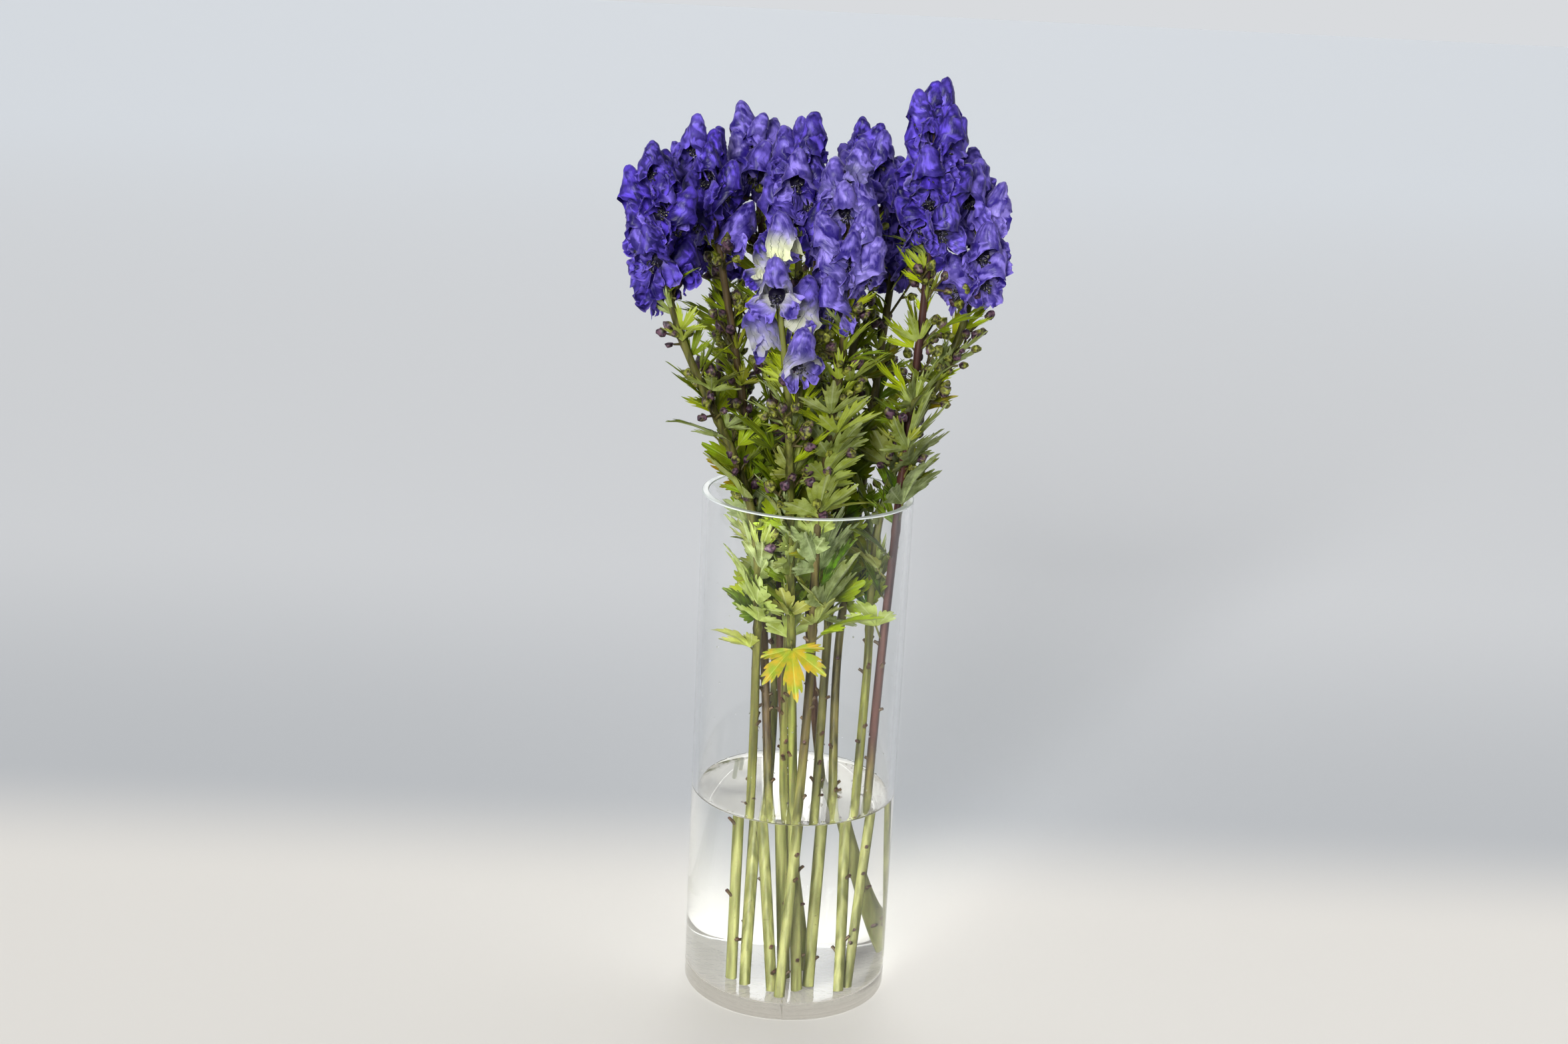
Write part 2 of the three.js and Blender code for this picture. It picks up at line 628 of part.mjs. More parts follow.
// The heads, each kept to its own side of its neighbours
const wideHeads = STALKS.map((stalk) => headSolid(stalk, GAP));
STALKS.forEach((stalk) => {
  let head = headSolid(stalk, 0);
  STALKS.forEach((other, k) => {
    const meets = other !== stalk && head.intersect(wideHeads[k]).volume() > 0;
    if (meets) head = keptFrom(head, stalk, other);
  });
  head = mainBody(head.subtract(joined(wideStems)));
  group.add(meshOf(`flowers_${stalk.number}`, head, stalk.petals, 0.55));
});

// The stalks: what grows from each stem is cut clear of every stem, head and earlier stalk
const cleared = [];
STALKS.forEach((stalk, index) => {
  const others = wideStems.filter((stem, k) => k !== index);
  const blocked = joined([...others, ...wideHeads, ...cleared]);
  const growth = joined(greenerySolids(stalk, 0)).subtract(blocked);
  group.add(meshOf(`stalk_${stalk.number}`, mainBody(stems[index].add(growth)), stalk.stem, 0.7));
  cleared.push(...greenerySolids(stalk, GREENERY_GAP));
});

export default group;
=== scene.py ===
"""Monkshood in a glass cylinder vase: twelve cut flower stalks standing in water.

Lengths are in millimetres in the frame of the part, with +Z up, and turn into metres where a mesh
is made. Azimuths are in degrees, counted from +X towards +Y; the front of the bunch is -Y.
"""
from math import cos, exp, pi, radians, sin

import bpy
import numpy as np
from mathutils import Color, Matrix, Vector


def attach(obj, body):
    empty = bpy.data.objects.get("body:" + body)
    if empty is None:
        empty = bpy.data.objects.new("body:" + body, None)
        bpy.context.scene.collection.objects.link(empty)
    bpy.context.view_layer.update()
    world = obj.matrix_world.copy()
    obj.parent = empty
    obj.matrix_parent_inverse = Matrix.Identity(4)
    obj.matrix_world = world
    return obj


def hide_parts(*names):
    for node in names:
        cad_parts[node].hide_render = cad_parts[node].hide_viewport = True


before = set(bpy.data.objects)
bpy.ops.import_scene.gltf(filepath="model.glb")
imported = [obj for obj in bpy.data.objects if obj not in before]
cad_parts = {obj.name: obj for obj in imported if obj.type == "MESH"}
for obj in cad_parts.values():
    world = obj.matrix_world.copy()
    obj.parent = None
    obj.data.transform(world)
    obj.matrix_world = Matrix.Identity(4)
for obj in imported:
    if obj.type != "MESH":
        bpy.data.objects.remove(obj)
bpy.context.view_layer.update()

METRES = 0.001

# The vase and its water
VASE_RADIUS = 80
VASE_HEIGHT = 400
WALL = 5
BASE_THICKNESS = 11
EDGE_ROUND = 1.6
RIM_ROUND = 0.9
# How far the pale skin of painted highlight stands outside the rim
RIM_HIGHLIGHT_SKIN = 0.03
FLOOR_ROUND = 5
WATER_TOP = 160
WATER_INTO_GLASS = 0.15
INNER_RADIUS = VASE_RADIUS - WALL
ROUND_STEPS = 160
EDGE_STEP = 0.4

# The stems, and the heights at which their places in the vase are given
FOOT_Z = BASE_THICKNESS + 0.32
LEVELS = {"foot": FOOT_Z, "waist": 250, "rim": 395}
STEM_FOOT_RADIUS = 3.5
STEM_NECK_RADIUS = 2.5
STEM_TIP_RADIUS = 1.5
STEM_TOP_BELOW_TIP = 24

# The flower heads: the youngest florets, at the tip, are smaller and closer to the stem
GOLDEN_ANGLE = 137.5
TOP_FLORET_BELOW_TIP = 26
LAST_FLORET_ABOVE_NECK = 17
YOUNG_FLORETS = 3
YOUNG_SIZE = 0.92
GROWN_SIZE = 1.1
FLORET_REACH = 4.6
YOUNG_NOD = -6
GROWN_NOD = -20

# A floret at size 1: its hood's height, half depth and half width, and the length and half width
# of a side petal and of a lower one
HOOD_TALL = (31, 35.5)
HOOD_DEPTH = 9.6
HOOD_WIDTH = 10.8
SIDE_PETAL = (18.5, 10.8)
LOWER_PETAL = (17, 4.6)

# The leaves: each lobe's middle in degrees, its length as a share of the blade, and half its width
FIVE_LOBES = {"middles": [-82, -42, 0, 42, 82], "lengths": [0.6, 0.86, 1, 0.86, 0.6], "half": 20}
THREE_LOBES = {"middles": [-50, 0, 50], "lengths": [0.74, 1, 0.74], "half": 25}
NARROW_LOBES = {"middles": [-34, 0, 34], "lengths": [0.72, 1, 0.72], "half": 15}
FIVE_LOBED_SHARE = 0.36
NOTCH_REACH = 0.36
SHOULDER_TURN = 0.6
SHOULDER_REACH = 0.76
BLADE_RISE = 0.16
PETIOLE_WIDTH = 2
LOWEST_LEAF_Z = 292
LEAVES_BELOW_NECK = 42
STEEPER_LOW_DOWN = 24
LARGER_LOW_DOWN = 13
HANGING_LEAF = {
    "stalk": "09", "z": 294, "azimuth": 305, "pitch": -34, "roll": 16,
    "blade": 40, "petiole": 12, "lobes": FIVE_LOBES, "bend": 0.2,
}

# The side branches with buds
FIRST_BRANCH_BELOW_NECK = 20
BRANCH_SPACING = 42
BUD_ASIDE = 5.5
BUD_AHEAD = 4.5
BUD_SPACING = 0.26

# What the leaves and branches keep clear of, and how far they turn or rise to do so, in degrees
STEM_CLEARANCE = 5.2
HEAD_CLEARANCE = 28
LEAF_CLEARANCE = 7.5
WALL_CLEARANCE = 1.6
RISE_STEP = 12
MOST_RISE = 36
TURN_STEP = 15
MOST_TURN = 75
STEEPEST = 84

# The ranges that the seeded draws choose from, in degrees, millimetres and shares
FLORET_RANGES = {
    "turn": (-14, 14), "reach": (-1, 1), "size": (-0.07, 0.07), "nod": (-8, 8), "roll": (-14, 14),
}
LEAF_RANGES = {
    "place": (0, 0.6), "turn": (4, 62), "pitch": (32, 60), "roll": (-22, 22),
    "blade": (30, 42), "petiole": (12, 22), "lobed": (0, 1), "bend": (0.1, 0.34),
}
SPRAY_RANGES = {
    "drop": (0, 18), "turn": (15, 80), "pitch": (42, 62), "roll": (0, 360),
    "length": (24, 38), "buds": (2, 3.99), "size": (2.6, 3.5),
}
FILLER_LEAF_RANGES = {
    "turn": (-170, 170), "pitch": (30, 70), "roll": (-50, 50), "blade": (32, 46),
    "petiole": (4, 14), "bend": (-0.15, 0.35),
}
FIRST_SEED = 4001
SEED_STEP = 977

# Where each stalk's centre passes: x and y at its foot, at the waist of the bunch and at the
# vase's rim; x, y and z at the neck, where the flowers begin, and at the tip. Then how many
# florets, leaves and side branches it has and the azimuth that they face. Its flowers are deep
# violet at paleness 0 and lavender at 1, with a green base where young, and its stem is green at
# brownness 0.
STALK_KEYS = (
    "foot", "waist", "rim", "neck", "tip",
    "florets", "leaves", "sprays", "out", "pale", "young", "brown",
)
STALK_ROWS = [
    ((-34, -24), (-33, -12), (-42, -38), (-103, -45, 538), (-126, -45, 664), 8, 9, 2, 200, 0.05, 0, 0.25),
    ((-8, -44), (-26, 2), (-40, -2), (-73, 5, 572), (-99, 5, 678), 7, 8, 2, 175, 0.12, 0, 0.75),
    ((12, 8), (-14, 16), (-22, 24), (-47, 50, 607), (-57, 50, 685), 5, 8, 1, 125, 0.55, 0, 0.9),
    ((0, -12), (-10, -6), (-8, 2), (-16, -5, 578), (-22, -5, 683), 6, 8, 2, 265, 0.2, 0, 0.2),
    ((-3, -56), (8, -30), (8, -48), (19, -55, 534), (13, -55, 671), 8, 11, 2, 275, 0.6, 0.1, 0.6),
    ((16, -30), (20, 6), (24, 22), (34, 45, 607), (37, 45, 679), 5, 8, 2, 75, 0.3, 0, 0.35),
    ((58, 20), (61, -10), (68, -10), (78, -10, 574), (75, -10, 713), 9, 9, 2, 335, 0, 0, 1),
    ((43, -34), (53, 4), (59, 14), (112, 20, 541), (111, 20, 660), 7, 10, 3, 10, 0.5, 0, 0.1),
    ((9, -40), (-5, -21), (-13, -54), (-20, -85, 499), (-39, -85, 619), 6, 9, 1, 255, 0.45, 1, 0),
    ((46, 36), (10, 26), (2, 48), (-4, 84, 560), (-6, 92, 638), 5, 8, 1, 95, 0.25, 0, 0.9),
    ((38, -42), (30, 20), (42, 42), (56, 76, 545), (66, 84, 628), 6, 9, 2, 50, 0.35, 0, 0.5),
    ((-26, -36), (-19, 30), (-40, 36), (-78, 66, 545), (-96, 74, 626), 5, 9, 2, 140, 0.1, 0, 0.15),
]
STALKS = [dict(zip(STALK_KEYS, row)) for row in STALK_ROWS]

# Leaves that spread low inside the glass: the stalk of each, and then what its keys say
LOW_LEAF_KEYS = ("z", "azimuth", "pitch", "roll", "blade")
LOW_LEAVES = [
    ("01", 276, 202, 44, 30, 34), ("01", 300, 176, 58, -30, 32), ("12", 284, 186, 52, 20, 34),
    ("06", 300, 338, 56, 0, 30), ("05", 300, 300, 66, 10, 34), ("04", 280, 285, 70, 0, 36),
]

# What the scene adds to the solids, the heights at which colours change, and the seeds
STEM_SIDES = 18
STEM_FULLER = 1.12
STEM_RING_STEP = 5
FILLER_SIZE = 0.92
CREST_GAIN = 0.6
ANTHERS = 16
FILLER_LEAVES = 24
BROAD_BELOW_Z = 425
FILLER_SPRAYS = 7
FILLER_CLEARANCE = 2.2
STUBS = 10
STUBS_BETWEEN = (25, 300)
STUB_RADII = [1.9, 1.4, 1.2, 1.2]
PETIOLE_RADII = [1.25, 0.95, 0.8, 0.75]
LEAF_ROWS = (0.02, 0.4, 0.74, 1)
HALF_THICKNESS = 0.28
FRESH_FROM_Z = 400
FRESH_OVER = 110
PALE_BELOW_Z = 130
BROWN_ABOVE_Z = 140
BUD_SWELL = 1.1
BUD_LENGTH = 3.1
STALKED_CLUSTER = 0.17
HEAD_SEED = 100
STALK_SEED = 500
FILLER_SEED = 900
DROP_SEED = 77
DROPS_ON_STEMS = 150
DROPS_AT_EDGE = 70
DROPS_ON_GLASS = 50
DROPS_BETWEEN = (170, 330)

# The folds of the petals: their size, their wavelength and how sharp they are
HOOD_WRINKLES = ((2.4, 18, 0.5), (0.95, 8, 0.85))
PETAL_WRINKLES = ((2.8, 15, 0.5), (1.0, 6.5, 0.85))

# The camera, fitted to the vase's rim, water line and foot, and the studio
CAMERA_PLACE = (-17.2, -1420, 757)
CAMERA_DOWN = 15.03
CAMERA_ROLL = 2.78
LENS = 44.46
SENSOR_WIDTH = 36
FLOOR_SIZE = 400
FRONT_LIGHT = 0.12
REAR_LIGHT = 0.73
SOFT_BOX_LIGHT = 2.6
SOFT_BOX_DIRECTION = (0, 0.88, 0.47)


def draws_from(seed):
    """A stream of repeatable draws, each from a range of two numbers."""
    state = seed

    def draw(limits):
        nonlocal state
        state = (state * 16807) % 2147483647
        return limits[0] + (limits[1] - limits[0]) * state / 2147483647

    return draw


def drawn(ranges, draw):
    """One draw from each range, in their order."""
    return {key: draw(limits) for key, limits in ranges.items()}


def stem_at(stalk, z):
    """The stem's centre at each height of an array, on a smooth curve through its five knots."""
    z = np.asarray(z, float)
    knots = stalk["knots"]
    i = np.searchsorted(knots[1:-1, 2], z, side="left")
    low, high = knots[i], knots[i + 1]
    before, after = knots[np.maximum(i - 1, 0)], knots[np.minimum(i + 2, len(knots) - 1)]
    rise = high - low
    t = (z[..., None] - low[..., 2:]) / rise[..., 2:]
    start = (high - before) / (high - before)[..., 2:] * rise[..., 2:]
    end = (after - low) / (after - low)[..., 2:] * rise[..., 2:]
    square = 3 * rise - 2 * start - end
    return low + t * (start + t * (square + t * (start + end - 2 * rise)))


def stem_radius(stalk, z):
    neck, tip = stalk["neck"][2], stalk["tip"][2]
    return np.interp(z, [FOOT_Z, neck, tip], [STEM_FOOT_RADIUS, STEM_NECK_RADIUS, STEM_TIP_RADIUS])


def unit(value):
    """The value, held between 0 and 1."""
    return np.clip(value, 0, 1)


def round_points(radius, angle, z):
    """Points at a radius, an angle and a height."""
    return np.stack([radius * np.cos(angle), radius * np.sin(angle), z + 0 * radius], -1)


def frame_matrix(origin, azimuth, pitch, roll):
    """The frame of a thing that points along an azimuth and rises by a pitch, face up."""
    matrix = Matrix.Translation(origin) @ Matrix.Rotation(radians(azimuth), 4, "Z")
    matrix = matrix @ Matrix.Rotation(radians(-pitch), 4, "Y")
    return matrix @ Matrix.Rotation(radians(roll), 4, "X")


def linked(name, data):
    """A new object in the scene with this data."""
    thing = bpy.data.objects.new(name, data)
    bpy.context.scene.collection.objects.link(thing)
    return thing


def moved(points, matrix):
    """Points of any array shape, moved by a 4 x 4 matrix."""
    m = np.array(matrix)
    return points @ m[:3, :3].T + m[:3, 3]


def floret_plan(stalk, draw):
    """The florets of a head, in a spiral from the tip down."""
    florets = []
    top = stalk["tip"][2] - TOP_FLORET_BELOW_TIP
    bottom = stalk["neck"][2] + LAST_FLORET_ABOVE_NECK
    for k in range(stalk["florets"]):
        floret, grown = drawn(FLORET_RANGES, draw), min(1, k / YOUNG_FLORETS)
        floret["z"] = top + (bottom - top) * k / (stalk["florets"] - 1)
        floret["grown"] = grown
        floret["azimuth"] = stalk["out"] + 90 + k * GOLDEN_ANGLE + floret["turn"]
        floret["reach"] += FLORET_REACH * grown
        floret["size"] += YOUNG_SIZE + (GROWN_SIZE - YOUNG_SIZE) * grown
        floret["nod"] += YOUNG_NOD + (GROWN_NOD - YOUNG_NOD) * grown
        florets.append(floret)
    return florets


def filler_florets(florets, rng):
    """Smaller florets halfway between those of the plan, which face more freely."""
    fillers = []
    for k, (above, below) in enumerate(zip(florets, florets[1:])):
        half = {key: (above[key] + below[key]) / 2 for key in ("z", "grown", "reach", "nod", "roll")}
        half["nod"] += rng.uniform(-12, 34)
        half["roll"] += rng.uniform(-30, 30)
        azimuth = above["azimuth"] + GOLDEN_ANGLE / 2 + (180 if k % 2 else 0) + rng.uniform(-25, 25)
        size = FILLER_SIZE * (above["size"] + below["size"]) / 2
        fillers.append({**half, "azimuth": azimuth, "size": size})
    return fillers


def floret_matrix(stalk, floret):
    away = round_points(floret["reach"], radians(floret["azimuth"]), 0)
    origin = stem_at(stalk, floret["z"]) + away
    matrix = frame_matrix(origin, floret["azimuth"], floret["nod"], floret["roll"])
    return matrix @ Matrix.Scale(floret["size"], 4)


# The points of all that already has its place
taken = {"points": np.zeros((0, 3))}


def is_clear(points, own, clearance):
    """Whether points keep clear of the glass, stems, heads and what already has its place."""
    low = points[:, 2].min() < VASE_HEIGHT + WALL_CLEARANCE
    if low and np.hypot(points[:, 0], points[:, 1]).max() > INNER_RADIUS - WALL_CLEARANCE:
        return False
    for other in STALKS:
        if other is own:
            continue
        away = np.hypot(*(points - stem_at(other, points[:, 2]))[:, :2].T)
        needed = np.where(points[:, 2] > other["neck"][2], HEAD_CLEARANCE, STEM_CLEARANCE)
        if np.any((away <= needed) & (points[:, 2] <= other["tip"][2])):
            return False
    apart = np.linalg.norm(points[:, None] - taken["points"][None], axis=2)
    return apart.size == 0 or apart.min() > clearance


def add_clear(things, stalk, wanted, points, clearance=LEAF_CLEARANCE):
    """Adds a thing in the first direction near the wanted one that is clear, if there is one.

    The points that stand for it there are then taken.
    """
    origin = stem_at(stalk, wanted["z"])
    for rise in range(0, MOST_RISE + 1, RISE_STEP):
        for turn in range(0, MOST_TURN + 1, TURN_STEP):
            for sign in (1, -1):
                azimuth = wanted["azimuth"] + sign * turn
                pitch = min(STEEPEST, wanted["pitch"] + rise)
                matrix = frame_matrix(origin, azimuth, pitch, wanted["roll"])
                placed = moved(points, matrix)
                if is_clear(placed, stalk, clearance):
                    taken["points"] = np.vstack([taken["points"], placed])
                    things.append({**wanted, "matrix": matrix})
                    return


def bend_blade(points, leaf):
    """How a leaf's blade bends down towards its tips and rises beside its midrib."""
    x, y, z = np.moveaxis(points, -1, 0)
    on_blade = (x > 0) | (abs(y) > 2 * PETIOLE_WIDTH)
    away = np.where(on_blade, np.hypot(x, y) / leaf["blade"], 0)
    drop = leaf["bend"] * leaf["blade"] * away * away
    return np.stack([x + leaf["petiole"], y, z + BLADE_RISE * abs(y) - drop], -1)


def leaf_points(leaf):
    """The points that stand for a leaf's blade where it looks for a clear place."""
    lobes, half = leaf["lobes"], leaf["lobes"]["half"]
    polar = []
    for j, (middle, length) in enumerate(zip(lobes["middles"], lobes["lengths"])):
        if j > 0:
            polar.append((middle - half, NOTCH_REACH * min(length, lobes["lengths"][j - 1])))
        polar.append((middle - SHOULDER_TURN * half, SHOULDER_REACH * length))
        polar.append((middle, length))
        polar.append((middle + SHOULDER_TURN * half, SHOULDER_REACH * length))
    for middle, length in zip(lobes["middles"], lobes["lengths"]):
        polar += [(middle, 0.35 * length), (middle, 0.7 * length)]
    angles, reaches = np.radians([a for a, _ in polar]), np.array([r for _, r in polar])
    return bend_blade(round_points(leaf["blade"] * reaches, angles, 0), leaf)


def leaf_plan(stalk, draw):
    """The leaves of a stalk from the lowest up, which are larger and steeper low down."""
    leaves = []
    if HANGING_LEAF["stalk"] == stalk["number"]:
        add_clear(leaves, stalk, HANGING_LEAF, leaf_points(HANGING_LEAF))
    span = stalk["neck"][2] - LEAVES_BELOW_NECK - LOWEST_LEAF_Z
    for k in range(stalk["leaves"]):
        low = 0.5 + 0.5 * cos(pi * k / stalk["leaves"])
        leaf = drawn(LEAF_RANGES, draw)
        leaf["z"] = LOWEST_LEAF_Z + span * (k + leaf["place"]) / stalk["leaves"]
        leaf["azimuth"] = stalk["out"] + (-1) ** k * leaf["turn"]
        leaf["pitch"] += STEEPER_LOW_DOWN * low
        leaf["blade"] += LARGER_LOW_DOWN * low
        leaf["lobes"] = FIVE_LOBES if leaf["lobed"] < FIVE_LOBED_SHARE else THREE_LOBES
        add_clear(leaves, stalk, leaf, leaf_points(leaf))
    return leaves


def spray_points(spray, shares):
    """The points at some shares of a side branch's length."""
    return np.outer(shares, [spray["length"] + spray["size"], 0, 0])


def spray_plan(stalk, draw):
    """The side branches of a stalk from the neck down."""
    sprays = []
    for k in range(stalk["sprays"]):
        below = FIRST_BRANCH_BELOW_NECK + BRANCH_SPACING * k
        spray = {**drawn(SPRAY_RANGES, draw), "spacing": BUD_SPACING}
        spray["z"] = stalk["neck"][2] - below - spray["drop"]
        spray["azimuth"] = stalk["out"] - (-1) ** k * spray["turn"]
        spray["buds"] = int(spray["buds"])
        add_clear(sprays, stalk, spray, spray_points(spray, [0.3, 0.5, 0.7, 0.9, 1.1]))
    return sprays


def filler_leaves(stalk, rng):
    """Leaves in the room that the plan's leaves leave, narrow and smaller higher up."""
    leaves = []
    for number, *row in LOW_LEAVES:
        if number == stalk["number"]:
            leaf = dict(zip(LOW_LEAF_KEYS, row), petiole=7, lobes=THREE_LOBES, bend=0.25)
            add_clear(leaves, stalk, leaf, leaf_points(leaf), FILLER_CLEARANCE)
    lowest = LOWEST_LEAF_Z - 6
    span = stalk["neck"][2] + 14 - lowest
    for k in range(FILLER_LEAVES):
        high = ((k + rng.uniform()) / FILLER_LEAVES) ** 0.85
        narrow = rng.uniform() < 0.1 + 1.1 * high
        leaf = drawn(FILLER_LEAF_RANGES, lambda limits: rng.uniform(*limits))
        leaf["z"] = lowest + span * high
        leaf["azimuth"] = stalk["out"] + leaf["turn"]
        leaf["blade"] -= 12 * high
        leaf["petiole"] *= 1.2 - high
        leaf["lobes"] = NARROW_LOBES if narrow else THREE_LOBES
        add_clear(leaves, stalk, leaf, leaf_points(leaf), FILLER_CLEARANCE)
    return leaves


def filler_sprays(stalk, rng):
    """Short side branches with their buds in a cluster."""
    sprays = []
    for k in range(FILLER_SPRAYS):
        spray = {
            "z": stalk["neck"][2] + 4 - 24 * k - rng.uniform(0, 18),
            "azimuth": stalk["out"] + rng.uniform(-120, 120),
            "pitch": rng.uniform(38, 68),
            "roll": rng.uniform(0, 360),
            "length": rng.uniform(12, 28),
            "buds": rng.integers(4, 7),
            "size": rng.uniform(3.2, 4.4),
            "spacing": STALKED_CLUSTER,
        }
        points = spray_points(spray, np.linspace(0.4, 1.1, 4))
        add_clear(sprays, stalk, spray, points, FILLER_CLEARANCE)
    return sprays


class Surface:
    """Grids of points gathered into one mesh, with a UV and named numbers at every point."""

    def __init__(self):
        self.points, self.faces, self.uvs, self.slots = [], [], [], []
        self.values = {}
        self.count = 0

    def grid(self, points, slot=0, wrap=True, uv=None, **values):
        """Adds a rows x columns x 3 grid, closed across its columns where wrap is set.

        The UV is a pair of arrays: places across and places along.
        """
        rows, columns = points.shape[:2]
        index = np.arange(rows * columns).reshape(rows, columns) + self.count
        if wrap:
            index = np.hstack([index, index[:, :1]])
        corners = (index[:-1, :-1], index[:-1, 1:], index[1:, 1:], index[1:, :-1])
        faces = np.stack(corners, -1).reshape(-1, 4)
        if uv is None:
            uv = np.linspace(0, 1, columns), np.linspace(0, 1, rows)[:, None]
        self.points.append(points.reshape(-1, 3))
        self.faces.append(faces)
        self.uvs.append(np.stack(np.broadcast_arrays(*uv), -1).reshape(-1, 2))
        self.slots.append(np.full(len(faces), slot))
        for name in self.values.keys() | values.keys():
            earlier = self.values.setdefault(name, [np.zeros(self.count)])
            value = np.broadcast_to(values.get(name, 0.0), (rows, columns))
            earlier.append(value.reshape(-1).astype(float))
        self.count += rows * columns

    def piece(self, name, materials):
        """The Blender object, in metres, smooth shaded."""
        points = np.vstack(self.points) * METRES
        faces = np.vstack(self.faces)
        mesh = bpy.data.meshes.new(name)
        mesh.from_pydata(points, [], faces)
        layer = mesh.uv_layers.new(name="petal")
        corners = np.zeros(len(mesh.loops), int)
        mesh.loops.foreach_get("vertex_index", corners)
        layer.data.foreach_set("uv", np.vstack(self.uvs)[corners].reshape(-1))
        for key, parts in self.values.items():
            attribute = mesh.attributes.new(key, "FLOAT", "POINT")
            attribute.data.foreach_set("value", np.concatenate(parts))
        mesh.polygons.foreach_set("material_index", np.concatenate(self.slots))
        mesh.polygons.foreach_set("use_smooth", np.ones(len(faces), bool))
        for material in materials:
            mesh.materials.append(material)
        mesh.update()
        return linked(name, mesh)


def crumple(points, rng, size, wavelength, creased=0.0):
    """Points pushed about by a smooth random field, with sharp folds in it where it is creased."""
    shift = np.zeros_like(points)
    for _ in range(5):
        direction = rng.normal(size=3)
        direction *= 2 * pi / wavelength / np.linalg.norm(direction) * rng.uniform(0.7, 1.4)
        push = rng.normal(size=3)
        wave = np.sin(points @ direction + rng.uniform(0, 2 * pi))
        wave = (1 - creased) * wave + creased * (1 - 2 * abs(wave) ** 0.8)
        shift += wave[..., None] * push / np.linalg.norm(push)
    return shift * size / 2


# The petals use this for painted light: lighter on the crests, darker in the folds.
def crests(points):
    """How far each point of a grid stands out from those two steps away: 0 in a fold, 1 on a crest."""
    padded = np.pad(points, ((2, 2), (2, 2), (0, 0)), mode="reflect", reflect_type="odd")
    down, up = padded[4:, 2:-2], padded[:-4, 2:-2]
    right, left = padded[2:-2, 4:], padded[2:-2, :-4]
    normal = np.cross(right - left, down - up)
    normal /= np.linalg.norm(normal, axis=2, keepdims=True) + 1e-9
    height = ((points - (down + up + right + left) / 4) * normal).sum(axis=2)
    return unit(0.5 + CREST_GAIN * (height - np.median(height)))


def wrinkled(points, rng, wrinkles):
    """The push of several sets of folds, each with its size, wavelength and sharpness."""
    return sum(crumple(points, rng, *each) for each in wrinkles)


def ring(sides):
    """The angles of the corners round a ring."""
    return np.linspace(0, 2 * pi, sides, endpoint=False)


def tube(path, radii, sides):
    """A grid round a path, with a radius at each of its points or at each grid point."""
    path = np.asarray(path, float)
    tangent = np.gradient(path, axis=0)
    tangent /= np.linalg.norm(tangent, axis=1)[:, None]
    reference = np.array([0, 0, 1.0]) if abs(tangent[:, 2]).max() < 0.9 else np.array([0, 1.0, 0])
    side = np.cross(reference, tangent)
    side /= np.linalg.norm(side, axis=1)[:, None]
    up = np.cross(tangent, side)
    angles = ring(sides)[None, :, None]
    spokes = side[:, None] * np.cos(angles) + up[:, None] * np.sin(angles)
    return path[:, None] + spokes * np.asarray(radii, float).reshape(len(path), -1)[..., None]


def hood_grid(rng, open_share):
    """The hood: a tall helmet, round the back from one front edge to the other."""
    rows, columns = 21, 33
    up = np.sin(np.linspace(0, 1, rows) * pi / 2)[:, None]
    across = np.linspace(-1, 1, columns)
    visor_at = rng.uniform(0.44, 0.6)
    below_visor = unit(1 - up / visor_at) ** 0.6
    opened = 1.6 * open_share * below_visor
    around = across * (pi - opened)
    round_top = np.sqrt(np.clip(1 - up ** 3.2, 0.0004, 1))
    taper = 1.06 - rng.uniform(0.22, 0.4) * up
    lean = rng.uniform(-1.5, 2.5)
    tall = rng.uniform(*HOOD_TALL)
    x = 7.8 - HOOD_DEPTH * round_top * (taper + 0.04) * np.cos(around) + lean * up ** 2
    y = HOOD_WIDTH * rng.uniform(0.9, 1.06) * round_top * taper * np.sin(around)
    y = y + rng.uniform(-1.8, 1.8) * up ** 2
    z = -5 + tall * up
    visor = np.exp(-((up - visor_at) / 0.13) ** 2) * np.exp(-((pi - abs(around)) / 0.6) ** 2)
    edge = unit((abs(across) - 0.7) / 0.3) ** 1.5 * below_visor
    x = x + 3.6 * visor + rng.uniform(1.5, 4.5) * edge
    y = y * (1 + rng.uniform(0.25, 0.6) * edge)
    z = z - 2.5 * visor + 3 * edge * rng.uniform(-1, 1)
    points = np.stack([x, y, z], -1)
    loose = 0.55 + 1.1 * (1 - up)[..., None]
    return points + wrinkled(points, rng, HOOD_WRINKLES) * loose, (across / 2 + 0.5, up)


def petal_grid(rng, base, along, across, length, width, cup, curl, rows, columns):
    """A petal that widens from its base and ends round, cupped across and curled along."""
    along = np.array(along, float) / np.linalg.norm(along)
    across = np.array(across, float)
    across = across - along * (across @ along)
    across /= np.linalg.norm(across)
    out = np.cross(along, across)
    s = np.linspace(0.05, 0.985, rows)[:, None, None]
    w = np.linspace(-1, 1, columns)[:, None]
    half = width * 1.16 * s ** 0.55 * np.sqrt(1 - s ** 3.4)
    bow = cup * (w * half / width) ** 2 * width + curl * length * s ** 2
    points = base + s * length * along + w * half * across + bow * out
    loose = 0.3 + 1.1 * s ** 1.5
    uv = (w[..., 0] / 2 + 0.5, s[..., 0])
    return points + loose * wrinkled(points, rng, PETAL_WRINKLES), uv


def bowed(start, end, bow, steps):
    """A path from start to end that bows by a vector in its middle."""
    t = np.linspace(0, 1, steps)[:, None]
    return start + (end - start) * t + np.sin(t * pi) * bow


def ball_grid(centre, axis, radius, length, sides, rows):
    """A small egg round a centre, long along an axis."""
    axis = np.array(axis, float) / np.linalg.norm(axis)
    t = np.linspace(0.03, 0.97, rows) * pi
    path = centre - axis * (length / 2) * np.cos(t)[:, None]
    return tube(path, radius * np.sin(t), sides)


# The materials of a head, and those of a stalk, in order
PETAL_SLOT, ANTHER_SLOT, GREEN_SLOT = 0, 1, 2
LEAF_SLOT, STEM_SLOT, BUD_SLOT = 0, 1, 2


